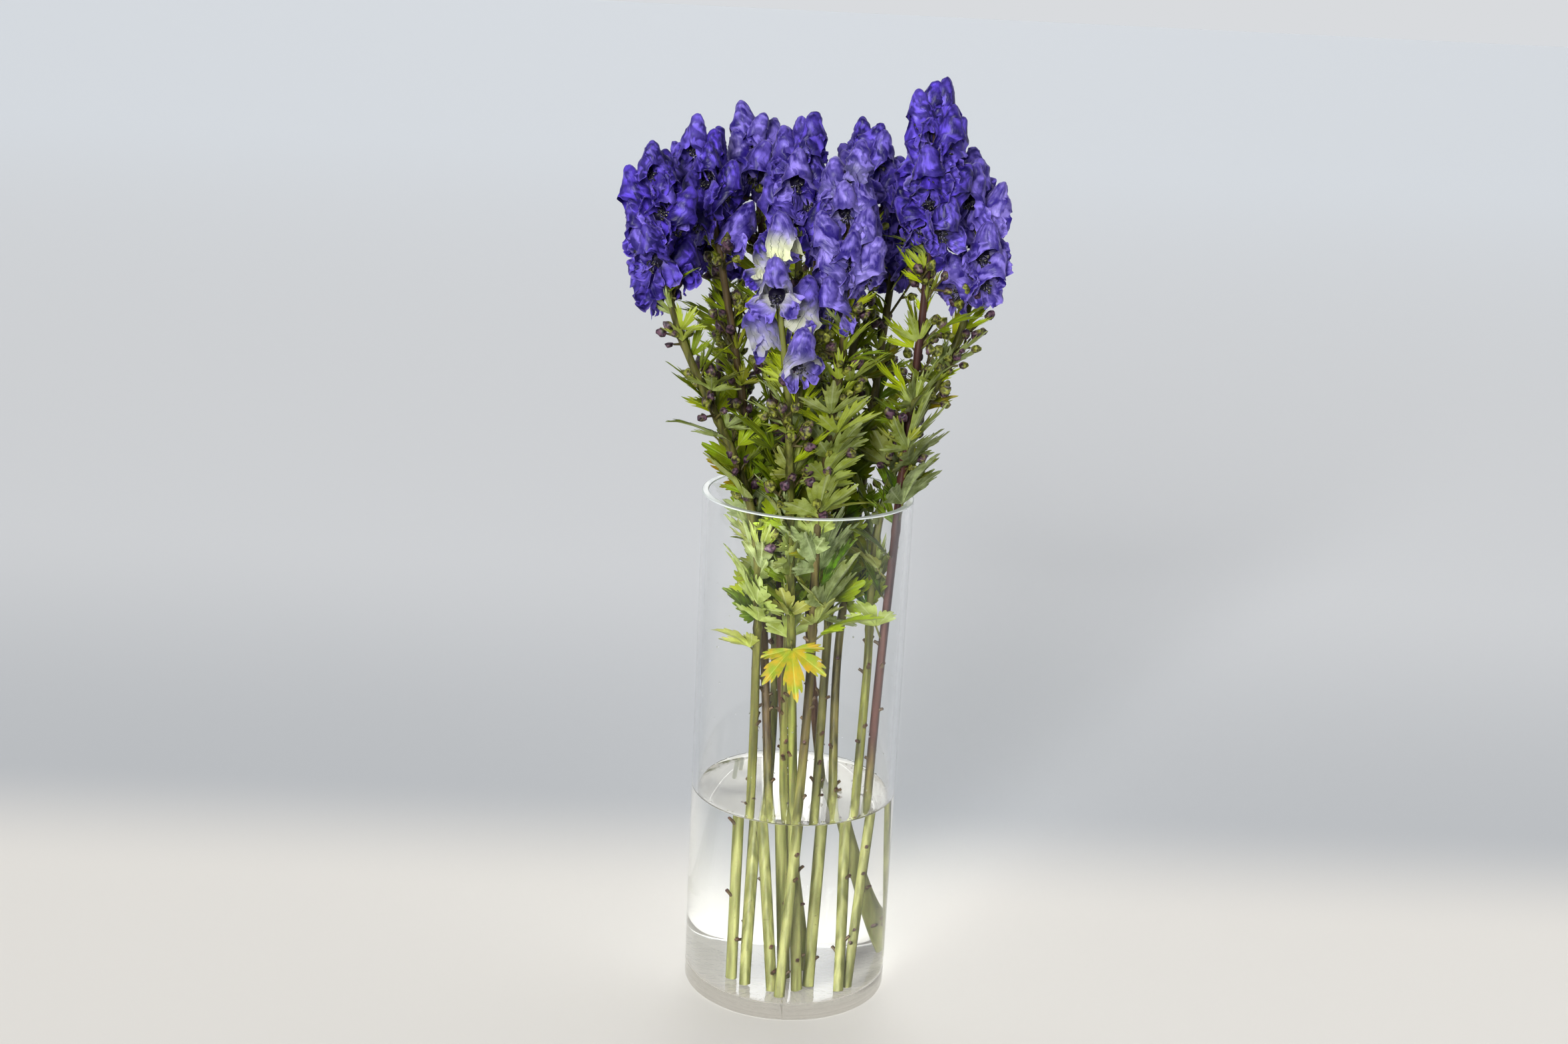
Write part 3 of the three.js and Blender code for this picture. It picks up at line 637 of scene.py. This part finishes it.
def add_floret(surface, rng, matrix, pale, young, open_share):
    """One floret: the hood, a broad petal on each side, two lower petals and the stamens."""

    def add(grid, slot=PETAL_SLOT, wrap=True, uv=None, **more):
        surface.grid(moved(grid, matrix), slot, wrap, uv, pale=pale, young=young, **more)

    # Each petal carries how far its points stand out, for painted highlights on crests and painted shade
    # in folds.
    def add_petal(points, uv, **more):
        add(points, PETAL_SLOT, False, uv, crest=crests(points), **more)

    add_petal(*hood_grid(rng, open_share), hood=1)
    spread = 0.4 + 0.6 * open_share
    for side in (-1, 1):
        hang = rng.uniform(-0.8, 0.05)
        add_petal(*petal_grid(
            rng, (4, 2 * side, 0.5), (0.62, 0.9 * side * spread, hang), (-0.35, 0.25 * side, 1),
            SIDE_PETAL[0] * rng.uniform(0.88, 1.12), SIDE_PETAL[1], rng.uniform(-0.45, -0.1) * side,
            rng.uniform(-0.25, 0.15) * side, 13, 15), inner=0.15 + 0.7 * pale)
        add_petal(*petal_grid(
            rng, (5, 1.5 * side, -2), (0.5, 0.32 * side * rng.uniform(0.5, 1.6), -0.85),
            (0.2, 1, 0.3), LOWER_PETAL[0] * rng.uniform(0.85, 1.1), LOWER_PETAL[1], 0.2,
            rng.uniform(-0.25, 0.1), 9, 9))
    # A near-black ball in the throat: painted shade for the dark inside of the floret.
    add(ball_grid((3.5, 0, 0.5), (1, 0, 0.4), 6.2, 11, 12, 8), throat=1)
    for _ in range(ANTHERS):
        turn = rng.uniform(0, 2 * pi)
        away = rng.uniform(0.5, 4.6)
        tip = np.array([rng.uniform(9, 14), away * cos(turn), away * sin(turn) - 0.5])
        path = bowed((4.5, 0, -1), tip, [0, 0, 1.2], 3)
        add(tube(path, [0.28] * 3, 3), ANTHER_SLOT, dark=0)
        add(ball_grid(tip, rng.normal(size=3), 0.88, 2.3, 4, 4), ANTHER_SLOT, dark=1)
    stalk_path = [(-6.5, 0, -9), (-3, 0, -7), (0.5, 0, -4), (4, 0, -1.5)]
    add(tube(stalk_path, [0.9, 0.85, 0.9, 1.4], 6), GREEN_SLOT)


def flower_head(stalk, materials):
    """All the florets of one stalk, as one piece."""
    rng = np.random.default_rng(HEAD_SEED + int(stalk["number"]))
    surface = Surface()
    fillers = [] if stalk["young"] == 1 else filler_florets(stalk["floret_list"], rng)
    for floret in stalk["floret_list"] + fillers:
        pale = unit(stalk["pale"] + rng.normal(0, 0.13))
        young = stalk["young"] * rng.uniform(0.6, 1) * (1.1 - 0.45 * floret["grown"])
        open_share = np.clip(0.35 + 0.75 * floret["grown"] + rng.normal(0, 0.1), 0.25, 1)
        add_floret(surface, rng, floret_matrix(stalk, floret), pale, young, open_share)
    return surface.piece("head_" + stalk["number"], materials)


# Across half a lobe, from its notch to its tip: how far its edge reaches. Broad lobes have rounded
# teeth, those high up are cut into fingers, and narrow ones have pointed teeth.
BROAD_EDGE = [
    (1, 0.3), (0.93, 0.5), (0.88, 0.66), (0.8, 0.76), (0.71, 0.78), (0.63, 0.71), (0.58, 0.7),
    (0.5, 0.85), (0.42, 0.92), (0.34, 0.92), (0.27, 0.84), (0.22, 0.84), (0.14, 0.98), (0.07, 1.03),
    (0, 1.04),
]
CUT_EDGE = [
    (1, 0.2), (0.84, 0.32), (0.66, 0.5), (0.63, 0.7), (0.6, 0.82), (0.47, 0.68), (0.37, 0.66),
    (0.34, 0.86), (0.3, 0.99), (0.19, 0.84), (0.13, 0.92), (0.06, 1.08), (0, 1.15),
]
NARROW_EDGE = [
    (1, 0.26), (0.88, 0.38), (0.78, 0.58), (0.71, 0.77), (0.61, 0.63), (0.53, 0.6), (0.45, 0.78),
    (0.37, 0.95), (0.29, 0.81), (0.21, 0.74), (0.14, 0.9), (0.07, 1.01), (0, 1.08),
]


def leaf_edge(leaf, rng):
    """The angle, reach and place across its lobe of every step along a leaf's cut edge."""
    steps = []
    lobes, half = leaf["lobes"], leaf["lobes"]["half"]
    edge = CUT_EDGE if leaf["z"] > BROAD_BELOW_Z else BROAD_EDGE
    if lobes is NARROW_LOBES:
        edge = NARROW_EDGE
    for middle, length in zip(lobes["middles"], lobes["lengths"]):
        for q, reach in edge:
            steps.append((middle - q * half, length * reach, -q))
        for q, reach in edge[-2:0:-1]:
            steps.append((middle + q * half, length * reach, q))
    steps.append((lobes["middles"][-1] + half, lobes["lengths"][-1] * edge[0][1], 1))
    steps = np.array(steps)
    steps[:, 1] *= 1 + rng.uniform(-0.04, 0.02, len(steps))
    return np.radians(steps[:, 0]), steps[:, 1], steps[:, 2]


def add_leaf_grids(surface, rng, leaf, ripe):
    """A leaf's blade, as an upper and an under face that meet at the edge, and its stalk."""
    angles, reaches, across = leaf_edge(leaf, rng)
    share = np.array(LEAF_ROWS)[:, None]
    flat = round_points(leaf["blade"] * reaches * share, angles, 0)
    fold = 0.035 * leaf["blade"] * share * (1 - abs(across)) ** 2
    ripple = crumple(flat, rng, 1.1, 16) * [0, 0, 1]
    high = unit((leaf["z"] - FRESH_FROM_Z) / FRESH_OVER)
    fresh = min(1, rng.beta(0.6, 0.6) * (0.45 + 0.6 * high) + 0.25 * high)
    for face in (1, -1):
        points = flat + ripple
        points[..., 2] += face * HALF_THICKNESS * (1.02 - share) ** 0.3 - fold
        grid = moved(bend_blade(points, leaf), leaf["matrix"])
        uv, under = (across[::face] / 2 + 0.5, share), face < 0
        surface.grid(grid[:, ::face], LEAF_SLOT, False, uv, ripe=ripe, under=under, fresh=fresh)
    length = leaf["petiole"]
    path = [(0, 0, 0), (0.35 * length, 0, -0.4), (0.7 * length, 0, -0.4), (length + 1.5, 0, 0)]
    petiole = moved(tube(path, PETIOLE_RADII, 7), leaf["matrix"])
    surface.grid(petiole, STEM_SLOT, brown=0.2, height=1)


def add_spray_grids(surface, rng, spray):
    """A side branch with its ribbed buds, each on a stalk of its own."""
    matrix = spray["matrix"]
    for k in range(spray["buds"]):
        radius = spray["size"] * (1 - 0.08 * k)
        root = 0 if k == 0 else spray["length"] * (0.86 - spray["spacing"] * k)
        turn = radians(GOLDEN_ANGLE * k)
        aside = 0 if k == 0 else BUD_ASIDE
        ahead = spray["length"] if k == 0 else root + BUD_AHEAD
        start = (root, 0, 0)
        end = np.array([ahead, aside * cos(turn), aside * sin(turn)])
        length = np.linalg.norm(end - start)
        path = bowed(start, end, [0, 0, -0.05 * length], 5)
        branch = tube(path, np.linspace(1.1, 0.8, 5), 6)
        surface.grid(moved(branch, matrix), STEM_SLOT, brown=0.5, height=1)
        rows = np.linspace(0.02, 0.98, 8)
        swell = BUD_SWELL * radius * np.sin(rows * pi) ** 0.75 * (1.2 - 0.5 * rows)
        egg = end + (end - start) / length * (rows[:, None] * radius * BUD_LENGTH)
        ridged = swell[:, None] * (1 + 0.1 * np.cos(3 * ring(12) + rng.uniform(0, 6)))
        grid = tube(egg, ridged, 12)
        grid = grid + crumple(grid, rng, 0.8, 5)
        surface.grid(moved(grid, matrix), BUD_SLOT, ripe=rng.uniform())


def stem_grid(stalk, rng):
    """The ribbed stem, with a slight swelling at every leaf, and its slanted cut end."""
    top = stalk["tip"][2] - STEM_TOP_BELOW_TIP
    z = np.arange(FOOT_Z, top, STEM_RING_STEP)
    path = stem_at(stalk, z)
    radius = STEM_FULLER * stem_radius(stalk, z)
    for leaf in stalk["leaf_list"]:
        radius = radius + 0.7 * np.exp(-((z - leaf["z"]) / 3) ** 2)
    ribs = 0.05 * np.cos(5 * ring(STEM_SIDES) + z[:, None] / 60 + rng.uniform(0, 6))
    grid = tube(path, radius[:, None] * (0.97 + ribs), STEM_SIDES)
    slant = rng.uniform(-0.5, 0.5)
    grid[0, :, 2] += np.maximum((grid[0, :, 0] - path[0, 0]) * slant, 0)
    return grid, z


def add_stem_grids(surface, rng, stalk):
    grid, z = stem_grid(stalk, rng)
    brown = stalk["brown"] * unit((z - BROWN_ABOVE_Z) / 70)
    height = unit((z - PALE_BELOW_Z) / 60)
    surface.grid(grid, STEM_SLOT, brown=brown[:, None], height=height[:, None])
    for end in (grid[0], grid[-1]):
        middle = end.mean(axis=0)
        cap = np.stack([middle + share * (end - middle) for share in (0.01, 0.15, 1)])
        surface.grid(cap, STEM_SLOT, brown=0.35, height=0.1)
    for _ in range(STUBS):
        at = rng.uniform(*STUBS_BETWEEN)
        turn = rng.uniform(0, 2 * pi)
        out = round_points(1, turn, rng.uniform(0.4, 1.1))
        start = stem_at(stalk, at) + out * [2.5, 2.5, 0]
        path = start + out * np.linspace(0, rng.uniform(2.4, 4.6), 4)[:, None]
        stub = tube(path, STUB_RADII, 8)
        surface.grid(stub, STEM_SLOT, brown=0.8, height=0.4)
        middle = np.tile(stub[-1].mean(axis=0), (8, 1))
        surface.grid(np.stack([stub[-1], middle]), STEM_SLOT, brown=1, height=0.4)


def green_stalk(stalk, materials):
    """One stem with its leaves, side branches and buds, as one piece."""
    rng = np.random.default_rng(STALK_SEED + int(stalk["number"]))
    surface = Surface()
    add_stem_grids(surface, rng, stalk)
    for leaf in stalk["leaf_list"] + stalk["filler_list"]:
        hanging = leaf["z"] == HANGING_LEAF["z"]
        ripe = 0.7 if hanging else rng.beta(0.5, 3)
        add_leaf_grids(surface, rng, leaf, ripe)
    for spray in stalk["spray_list"]:
        add_spray_grids(surface, rng, spray)
    return surface.piece("stalk_fine_" + stalk["number"], materials)


def arc(centre, radius, start, end, steps=7):
    """Profile points on an arc about a centre, between two angles in degrees."""
    angles = np.radians(np.linspace(start, end, steps))
    return [(centre[0] + radius * cos(a), centre[1] + radius * sin(a)) for a in angles]


def lathe(name, profile, material):
    """A closed body turned about Z from a profile of radius and height.

    Long steps get a point close to each end, so that the smooth shading bends at the corners only.
    """
    profile = np.array(profile, float)
    points = [profile[0]]
    for start, end in zip(profile, profile[1:]):
        length = np.linalg.norm(end - start)
        if length > 4 * EDGE_STEP:
            near = (end - start) * EDGE_STEP / length
            points += [start + near, end - near]
        points.append(end)
    points = np.array(points)[:, None]
    radii = np.maximum(points[..., 0], 0.02) + np.zeros(ROUND_STEPS)
    surface = Surface()
    surface.grid(round_points(radii, ring(ROUND_STEPS), points[..., 1]))
    return surface.piece(name, [material])


def rim_arcs(radius):
    """The profile over the rim of the glass, from outside to inside."""
    z = VASE_HEIGHT - RIM_ROUND
    outside = arc((VASE_RADIUS - RIM_ROUND, z), radius, 0, 90)
    return outside + arc((INNER_RADIUS + RIM_ROUND, z), radius, 90, 180)


def glass_vase(material):
    outer, inner, r = VASE_RADIUS, INNER_RADIUS, EDGE_ROUND
    profile = [(0, 0), (40, 0)]
    profile += arc((outer - r, r), r, -90, 0)
    profile += [(outer, 200), *rim_arcs(RIM_ROUND), (inner, 200)]
    profile += arc((inner - FLOOR_ROUND, BASE_THICKNESS + FLOOR_ROUND), FLOOR_ROUND, 0, -90)
    profile += [(40, BASE_THICKNESS), (0, BASE_THICKNESS)]
    return lathe("vase_glass", profile, material)


def vase_rim_highlight(material):
    """A painted highlight on the polished edge of the glass: a pale skin a hair outside the rim."""
    return lathe("vase_rim_highlight", rim_arcs(RIM_ROUND + RIM_HIGHLIGHT_SKIN), material)


def vase_water(material):
    """The water, which reaches a hair into the glass and creeps up it at the surface."""
    edge, low, corner = INNER_RADIUS + WATER_INTO_GLASS, BASE_THICKNESS - WATER_INTO_GLASS, FLOOR_ROUND
    profile = [(0, low), (40, low)]
    profile += arc((edge - corner, low + corner), corner, -90, 0)
    profile += [(edge, 80), (edge, WATER_TOP + 2.2)]
    profile += [(edge - d, WATER_TOP + 2.0 * exp(-d / 1.6)) for d in (0.4, 0.9, 1.6, 2.6, 4, 7)]
    profile += [(40, WATER_TOP), (0, WATER_TOP)]
    return lathe("vase_water", profile, material)


def water_drops(material):
    """Drops on the stems and the glass above the water, and bubbles in a ring at its edge."""
    rng = np.random.default_rng(DROP_SEED)
    surface = Surface()

    def drop(centre, size):
        surface.grid(ball_grid(centre, (0, 0, 1), size, 2.1 * size, 8, 6))

    for _ in range(DROPS_ON_STEMS):
        stalk = STALKS[rng.integers(len(STALKS))]
        z = WATER_TOP + 3 + 130 * rng.beta(1.1, 2.2)
        turn = rng.uniform(0, 2 * pi)
        away = STEM_FULLER * stem_radius(stalk, z) + 0.1
        drop(stem_at(stalk, z) + round_points(away, turn, 0), rng.uniform(0.4, 0.95))
    for k in range(DROPS_AT_EDGE):
        turn = 2 * pi * (k + rng.uniform()) / DROPS_AT_EDGE
        size = rng.uniform(0.35, 1.0)
        away = INNER_RADIUS - size - rng.uniform(0.2, 3.5) * (size < 0.6)
        drop(round_points(away, turn, WATER_TOP + 2.6 + rng.uniform()), size)
    for _ in range(DROPS_ON_GLASS):
        turn = rng.uniform(0, 2 * pi)
        size = rng.uniform(0.3, 0.7)
        drop(round_points(INNER_RADIUS - 0.7 * size, turn, rng.uniform(*DROPS_BETWEEN)), size)
    return surface.piece("water_drops", [material])


def linear(code):
    """A colour of six hex digits as linear red, green, blue and alpha."""
    colour = Color([value / 255 for value in bytes.fromhex(code)])
    return (*colour.from_srgb_to_scene_linear(), 1)


class Shade:
    """The node tree of a new material or world, with short calls for its nodes."""

    def __init__(self, name, kind="materials"):
        self.owner = getattr(bpy.data, kind).new(name)
        self.owner.use_nodes = True
        self.tree = self.owner.node_tree
        self.tree.nodes.clear()

    def add(self, kind, settings=None, **inputs):
        node = self.tree.nodes.new("ShaderNode" + kind)
        for key, value in (settings or {}).items():
            setattr(node, key, value)
        for key, value in inputs.items():
            self.put(node.inputs[key.replace("_", " ")], value)
        return node

    def put(self, socket, value):
        if isinstance(value, bpy.types.NodeSocket):
            self.tree.links.new(value, socket)
        else:
            socket.default_value = linear(value) if isinstance(value, str) else value

    def number(self, name):
        return self.add("Attribute", {"attribute_name": name}).outputs["Fac"]

    def place(self):
        return self.add("TexCoord").outputs["Object"]

    def uv(self):
        return self.add("UVMap", {"uv_map": "petal"}).outputs["UV"]

    def parts(self, vector):
        """The first two numbers of a vector."""
        return self.add("SeparateXYZ", Vector=vector).outputs[:2]

    def maths(self, operation, a, b=0):
        node = self.add("Math", {"operation": operation})
        self.put(node.inputs[0], a)
        self.put(node.inputs[1], b)
        return node.outputs[0]

    def ramp(self, value, low, high, start=0, end=1):
        """From start where the value is low to end where it is high, smooth between."""
        limits = {"From_Min": low, "From_Max": high, "To_Min": start, "To_Max": end}
        node = self.add("MapRange", {"interpolation_type": "SMOOTHSTEP"}, Value=value, **limits)
        return node.outputs["Result"]

    def times(self, a, b):
        return self.maths("MULTIPLY", a, b)

    def plus(self, a, b):
        return self.maths("ADD", a, b)

    def minus(self, a, b):
        return self.maths("SUBTRACT", a, b)

    def size(self, value):
        return self.maths("ABSOLUTE", value)

    def bumped(self, strength, distance, height):
        """The normal that a height gives."""
        node = self.add("Bump", Strength=strength, Distance=distance, Height=height)
        return node.outputs["Normal"]

    def coat(self, colour, roughness, **more):
        """A surface of a colour and a roughness."""
        return self.add("BsdfPrincipled", Base_Color=colour, Roughness=roughness, **more)

    def blend(self, factor, a, b):
        """From colour a at a factor of 0 to colour b at 1; each is a socket or six hex digits."""
        node = self.add("Mix", {"data_type": "RGBA"})
        self.put(node.inputs[0], factor)
        self.put(node.inputs[6], a)
        self.put(node.inputs[7], b)
        return node.outputs[2]

    def noise(self, scale, detail, place=None):
        place = place or self.place()
        return self.add("TexNoise", Vector=place, Scale=scale, Detail=detail).outputs["Fac"]

    def surface(self, shader):
        self.add("OutputMaterial", Surface=shader.outputs[0])
        return self.owner

    def mixed(self, factor, first, second):
        """The material that goes from one shader to another by a factor."""
        both = self.add("MixShader", Fac=factor)
        self.put(both.inputs[1], first.outputs[0])
        self.put(both.inputs[2], second.outputs[0])
        return self.surface(both)


def petal_veins(shade, lines, curve):
    """Thin lines that fan from a petal's base, from its UV."""
    across, along = shade.parts(shade.uv())
    wander = shade.times(shade.noise(9, 2, shade.uv()), curve)
    turn = shade.plus(shade.times(shade.minus(across, 0.5), lines), wander)
    wave = shade.size(shade.maths("SINE", turn))
    return shade.ramp(wave, 0.22, 0), along


def petal_material():
    """Violet with fan veins, paler at the inner base, green-based when young; edges paler, partly as
    painted highlight; crests painted light, folds and throat painted as shade.
    """
    shade = Shade("petals")
    veins, along = petal_veins(shade, 34, 3)
    fine, _ = petal_veins(shade, 84, 5)
    side = shade.size(shade.minus(shade.parts(shade.uv())[0], 0.5))
    folds = shade.noise(150, 3)
    mottle = shade.ramp(shade.noise(90, 5), 0.38, 0.72)
    # Painted shade and highlights: folds darker and crests lighter, mixed with random mottle.
    crest = shade.ramp(shade.number("crest"), 0.3, 0.9)
    light = shade.plus(shade.times(mottle, 0.4), shade.times(crest, 0.6))
    deep = shade.blend(light, "0e0348", "6a50e6")
    pale = shade.blend(light, "301e88", "b9a9fa")
    colour = shade.blend(shade.number("pale"), deep, pale)
    # Paler petal edges and tips: partly the petals' own colour, partly a painted highlight.
    rim = shade.maths("MAXIMUM", shade.ramp(side, 0.4, 0.5), shade.ramp(along, 0.9, 1))
    rim = shade.times(rim, shade.minus(1, shade.number("hood")))
    colour = shade.blend(shade.times(rim, 0.5), colour, "9480e6")
    inner = shade.times(shade.ramp(along, 0.45, 0.05), shade.number("inner"))
    colour = shade.blend(inner, colour, "c9c2e4")
    green = shade.blend(veins, "e0e4b4", "98a552")
    low = shade.ramp(along, 0.72, 0.05)
    colour = shade.blend(shade.times(shade.number("young"), low), colour, green)
    lines = shade.maths("MAXIMUM", veins, shade.times(fine, 0.4))
    colour = shade.blend(shade.times(lines, 0.28), colour, "1c0e66")
    # The throat ball is painted near-black as shade.
    colour = shade.blend(shade.number("throat"), colour, "0c0620")
    relief = shade.minus(folds, shade.times(lines, 0.4))
    petal = shade.coat(
        colour, 0.43, Normal=shade.bumped(0.5, 0.0009, relief), Specular_IOR_Level=0.28,
        Sheen_Weight=0.3, Sheen_Roughness=0.3, Sheen_Tint=(0.66, 0.56, 1, 1))
    through = shade.add("BsdfTranslucent", Color=colour)
    return shade.mixed(0.16, petal, through)


def anther_material():
    shade = Shade("stamens")
    fleck = shade.ramp(shade.noise(900, 2), 0.62, 0.7)
    tip = shade.blend(fleck, "17151c", "c9c79a")
    colour = shade.blend(shade.number("dark"), "8f8aa8", tip)
    return shade.surface(shade.coat(colour, 0.7))


def stem_material():
    shade = Shade("stem")
    stretched = shade.add("Mapping", Vector=shade.place(), Scale=(260, 260, 16)).outputs["Vector"]
    streak = shade.ramp(shade.noise(1, 4, stretched), 0.25, 0.75)
    pale = shade.blend(streak, "444a1c", "848650")
    green = shade.blend(streak, "2a300c", "6e7430")
    colour = shade.blend(shade.number("height"), pale, green)
    tinge = shade.ramp(shade.noise(16, 3, stretched), 0.5, 0.75)
    colour = shade.blend(shade.times(tinge, 0.65), colour, "623434")
    brown = shade.blend(streak, "200c0f", "4c2e26")
    colour = shade.blend(shade.number("brown"), colour, brown)
    speck = shade.ramp(shade.noise(520, 2), 0.68, 0.74)
    colour = shade.blend(shade.times(speck, 0.7), colour, "2a1a12")
    uneven = shade.bumped(0.35, 0.0004, streak)
    return shade.surface(shade.coat(colour, 0.48, Specular_IOR_Level=0.25, Normal=uneven))


def leaf_material():
    shade = Shade("leaf")
    across, along = shade.parts(shade.uv())
    side = shade.size(shade.minus(across, 0.5))
    midrib = shade.ramp(side, 0.05, 0)
    slope = shade.minus(shade.times(along, 34), shade.times(side, 40))
    ribs = shade.ramp(shade.size(shade.maths("SINE", slope)), 0.25, 0)
    veins = shade.maths("MAXIMUM", midrib, shade.times(ribs, 0.6))
    mottle = shade.ramp(shade.noise(120, 4), 0.35, 0.68)
    green = shade.blend(mottle, "0f2a02", "4c7a08")
    green = shade.blend(shade.number("fresh"), green, "d0e220")
    yellow = shade.blend(mottle, "6c7c10", "a07c12")
    spread = shade.plus(shade.number("ripe"), shade.times(along, 0.25))
    ripe = shade.ramp(spread, 0.15, 1)
    top = shade.blend(ripe, green, yellow)
    top = shade.blend(shade.times(veins, 0.45), top, "9db35a")
    under = shade.blend(mottle, "66743e", "a4b27c")
    under = shade.blend(shade.times(shade.number("fresh"), 0.8), under, "c2d236")
    under = shade.blend(shade.times(ripe, 0.7), under, "a29a28")
    under = shade.blend(shade.times(veins, 0.45), under, "ccd4a4")
    colour = shade.blend(shade.number("under"), top, under)
    uneven = shade.bumped(0.5, 0.0005, veins)
    leaf = shade.coat(colour, 0.44, Specular_IOR_Level=0.25, Normal=uneven)
    through = shade.add("BsdfTranslucent", Color=colour)
    return shade.mixed(0.26, leaf, through)


def bud_material():
    shade = Shade("bud")
    mottle = shade.ramp(shade.noise(420, 3), 0.36, 0.64)
    patch = shade.minus(shade.noise(160, 2), 0.5)
    purple = shade.blend(mottle, "20141f", "5f4452")
    green = shade.blend(mottle, "33360e", "868a34")
    greenness = shade.plus(shade.number("ripe"), shade.times(patch, 2.4))
    colour = shade.blend(shade.ramp(greenness, 0.2, 0.8), purple, green)
    return shade.surface(shade.coat(colour, 0.45, Specular_IOR_Level=0.3))


def clear_material(name, colour, ior, ripple):
    """Clear glass or water that lets lamp light through, with a faint ripple in its surface."""
    shade = Shade(name)
    uneven = shade.bumped(ripple, 0.001, shade.noise(14, 2))
    glass = shade.coat(
        colour, 0, IOR=ior, Specular_IOR_Level=0.2, Specular_Tint=(0.3, 0.3, 0.3, 1),
        Transmission_Weight=1, Normal=uneven)
    clear = shade.add("BsdfTransparent", Color=(0.985, 0.992, 0.99, 1))
    return shade.mixed(shade.add("LightPath").outputs["Is Shadow Ray"], glass, clear)


def rim_highlight_material():
    """A painted highlight for the polished glass edge: pale and half clear."""
    shade = Shade("glass_rim_highlight")
    pale = shade.coat((0.88, 0.93, 0.92, 1), 0.25)
    return shade.mixed(0.62, shade.add("BsdfTransparent"), pale)


def floor_material():
    """A pale table top, warm round the vase and grey behind it, with painted shade that darkens it in
    front.
    """
    shade = Shade("floor")
    depth = shade.parts(shade.place())[1]
    tone = shade.blend(shade.ramp(depth, 0.12, 0.36), "ebe7e0", "c2c4c6")
    tone = shade.blend(shade.ramp(depth, 0.3, 1.2), tone, "d8d9da")
    tone = shade.blend(shade.ramp(depth, 1.5, 9), tone, "dfe3e7")
    # Painted shade: the floor darker in front of the vase.
    tone = shade.blend(shade.ramp(depth, -0.2, -1.2), tone, "a8aaac")
    return shade.surface(shade.coat(tone, 0.9, Specular_IOR_Level=0.1))


def make_plans():
    """Every stalk's plan first, then the fillers, as later plans keep clear of earlier ones."""
    for index, stalk in enumerate(STALKS):
        stalk["number"] = f"{index + 1:02d}"
        in_vase = [(*stalk[level], z) for level, z in LEVELS.items()]
        stalk["knots"] = np.array([*in_vase, stalk["neck"], stalk["tip"]], float)
    for index, stalk in enumerate(STALKS):
        draw = draws_from(FIRST_SEED + SEED_STEP * index)
        stalk["floret_list"] = floret_plan(stalk, draw)
        stalk["leaf_list"] = leaf_plan(stalk, draw)
        stalk["spray_list"] = spray_plan(stalk, draw)
    for index, stalk in enumerate(STALKS):
        rng = np.random.default_rng(FILLER_SEED + index)
        stalk["spray_list"] += filler_sprays(stalk, rng)
        stalk["filler_list"] = filler_leaves(stalk, rng)


def make_camera():
    data = bpy.data.cameras.new("camera")
    data.lens = LENS
    data.sensor_width = SENSOR_WIDTH
    place = Matrix.Translation(Vector(CAMERA_PLACE) * METRES)
    aim = Matrix.Rotation(radians(90 - CAMERA_DOWN), 4, "X")
    camera = linked("camera", data)
    camera.matrix_world = place @ aim @ Matrix.Rotation(radians(CAMERA_ROLL), 4, "Z")
    bpy.context.scene.camera = camera


def add_lamp(name, kind, place, size, power):
    """A soft lamp that faces the middle of the bunch."""
    data = bpy.data.lights.new(name, kind)
    data.energy = power
    if kind == "SUN":
        data.angle = size
    else:
        data.size = size
    turn = (Vector((0, 0, 0.4)) - Vector(place)).to_track_quat("-Z", "Y").to_matrix().to_4x4()
    linked(name, data).matrix_world = Matrix.Translation(place) @ turn


def studio_world():
    """Pale light from all round, a soft box high behind, and a darker room behind the camera."""
    shade = Shade("studio", "worlds")
    view = shade.add("TexCoord").outputs["Generated"]

    def level(direction, start, end, low, high):
        """A strength that grows with a view's nearness to a direction."""
        along = shade.add("VectorMath", {"operation": "DOT_PRODUCT"})
        shade.put(along.inputs[0], view)
        shade.put(along.inputs[1], direction)
        return shade.ramp(along.outputs["Value"], start, end, low, high)

    room = level((0, 1, 0), -0.95, 0.9, FRONT_LIGHT, REAR_LIGHT)
    strength = shade.plus(room, level(SOFT_BOX_DIRECTION, 0.93, 0.98, 0, SOFT_BOX_LIGHT))
    light = shade.add("Background", Color=(0.95, 0.97, 1, 1), Strength=strength)
    shade.add("OutputWorld", Surface=light.outputs[0])
    return shade.owner


def make_stage():
    bpy.ops.mesh.primitive_plane_add(size=FLOOR_SIZE)
    floor = bpy.context.object
    floor.name = "floor"
    floor.data.materials.append(floor_material())
    add_lamp("key", "SUN", (-0.8, -2.5, 1.15), 0.4, 4.2)
    add_lamp("fill", "AREA", (1.6, -1.6, 0.9), 1, 6)
    scene = bpy.context.scene
    scene.world = studio_world()
    scene.view_settings.view_transform = "Standard"
    scene.cycles.max_bounces = 24
    scene.cycles.transmission_bounces = 24
    scene.cycles.glossy_bounces = 12


make_camera()
make_stage()
make_plans()

vase = glass_vase(clear_material("glass", (0.997, 1, 0.998, 1), 1.5, 0.02))
water = vase_water(clear_material("water", (0.998, 1, 0.998, 1), 1.33, 0.02))
drops = water_drops(clear_material("drops", (1, 1, 1, 1), 1.33, 0))
# A pale skin over the rim: a painted highlight.
rim = vase_rim_highlight(rim_highlight_material())
for piece, slot in ((drops, "water"), (rim, "glass")):
    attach(piece, "root")
for piece, node in ((vase, "vase"), (water, "water")):
    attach(piece, "root")
    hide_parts(node)

petal, anther, stem = petal_material(), anther_material(), stem_material()
leafy, bud = leaf_material(), bud_material()
for stalk in STALKS:
    head = flower_head(stalk, [petal, anther, stem])
    green = green_stalk(stalk, [leafy, stem, bud])
    for piece, node in ((head, "flowers_" + stalk["number"]), (green, "stalk_" + stalk["number"])):
        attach(piece, "root")
        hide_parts(node)
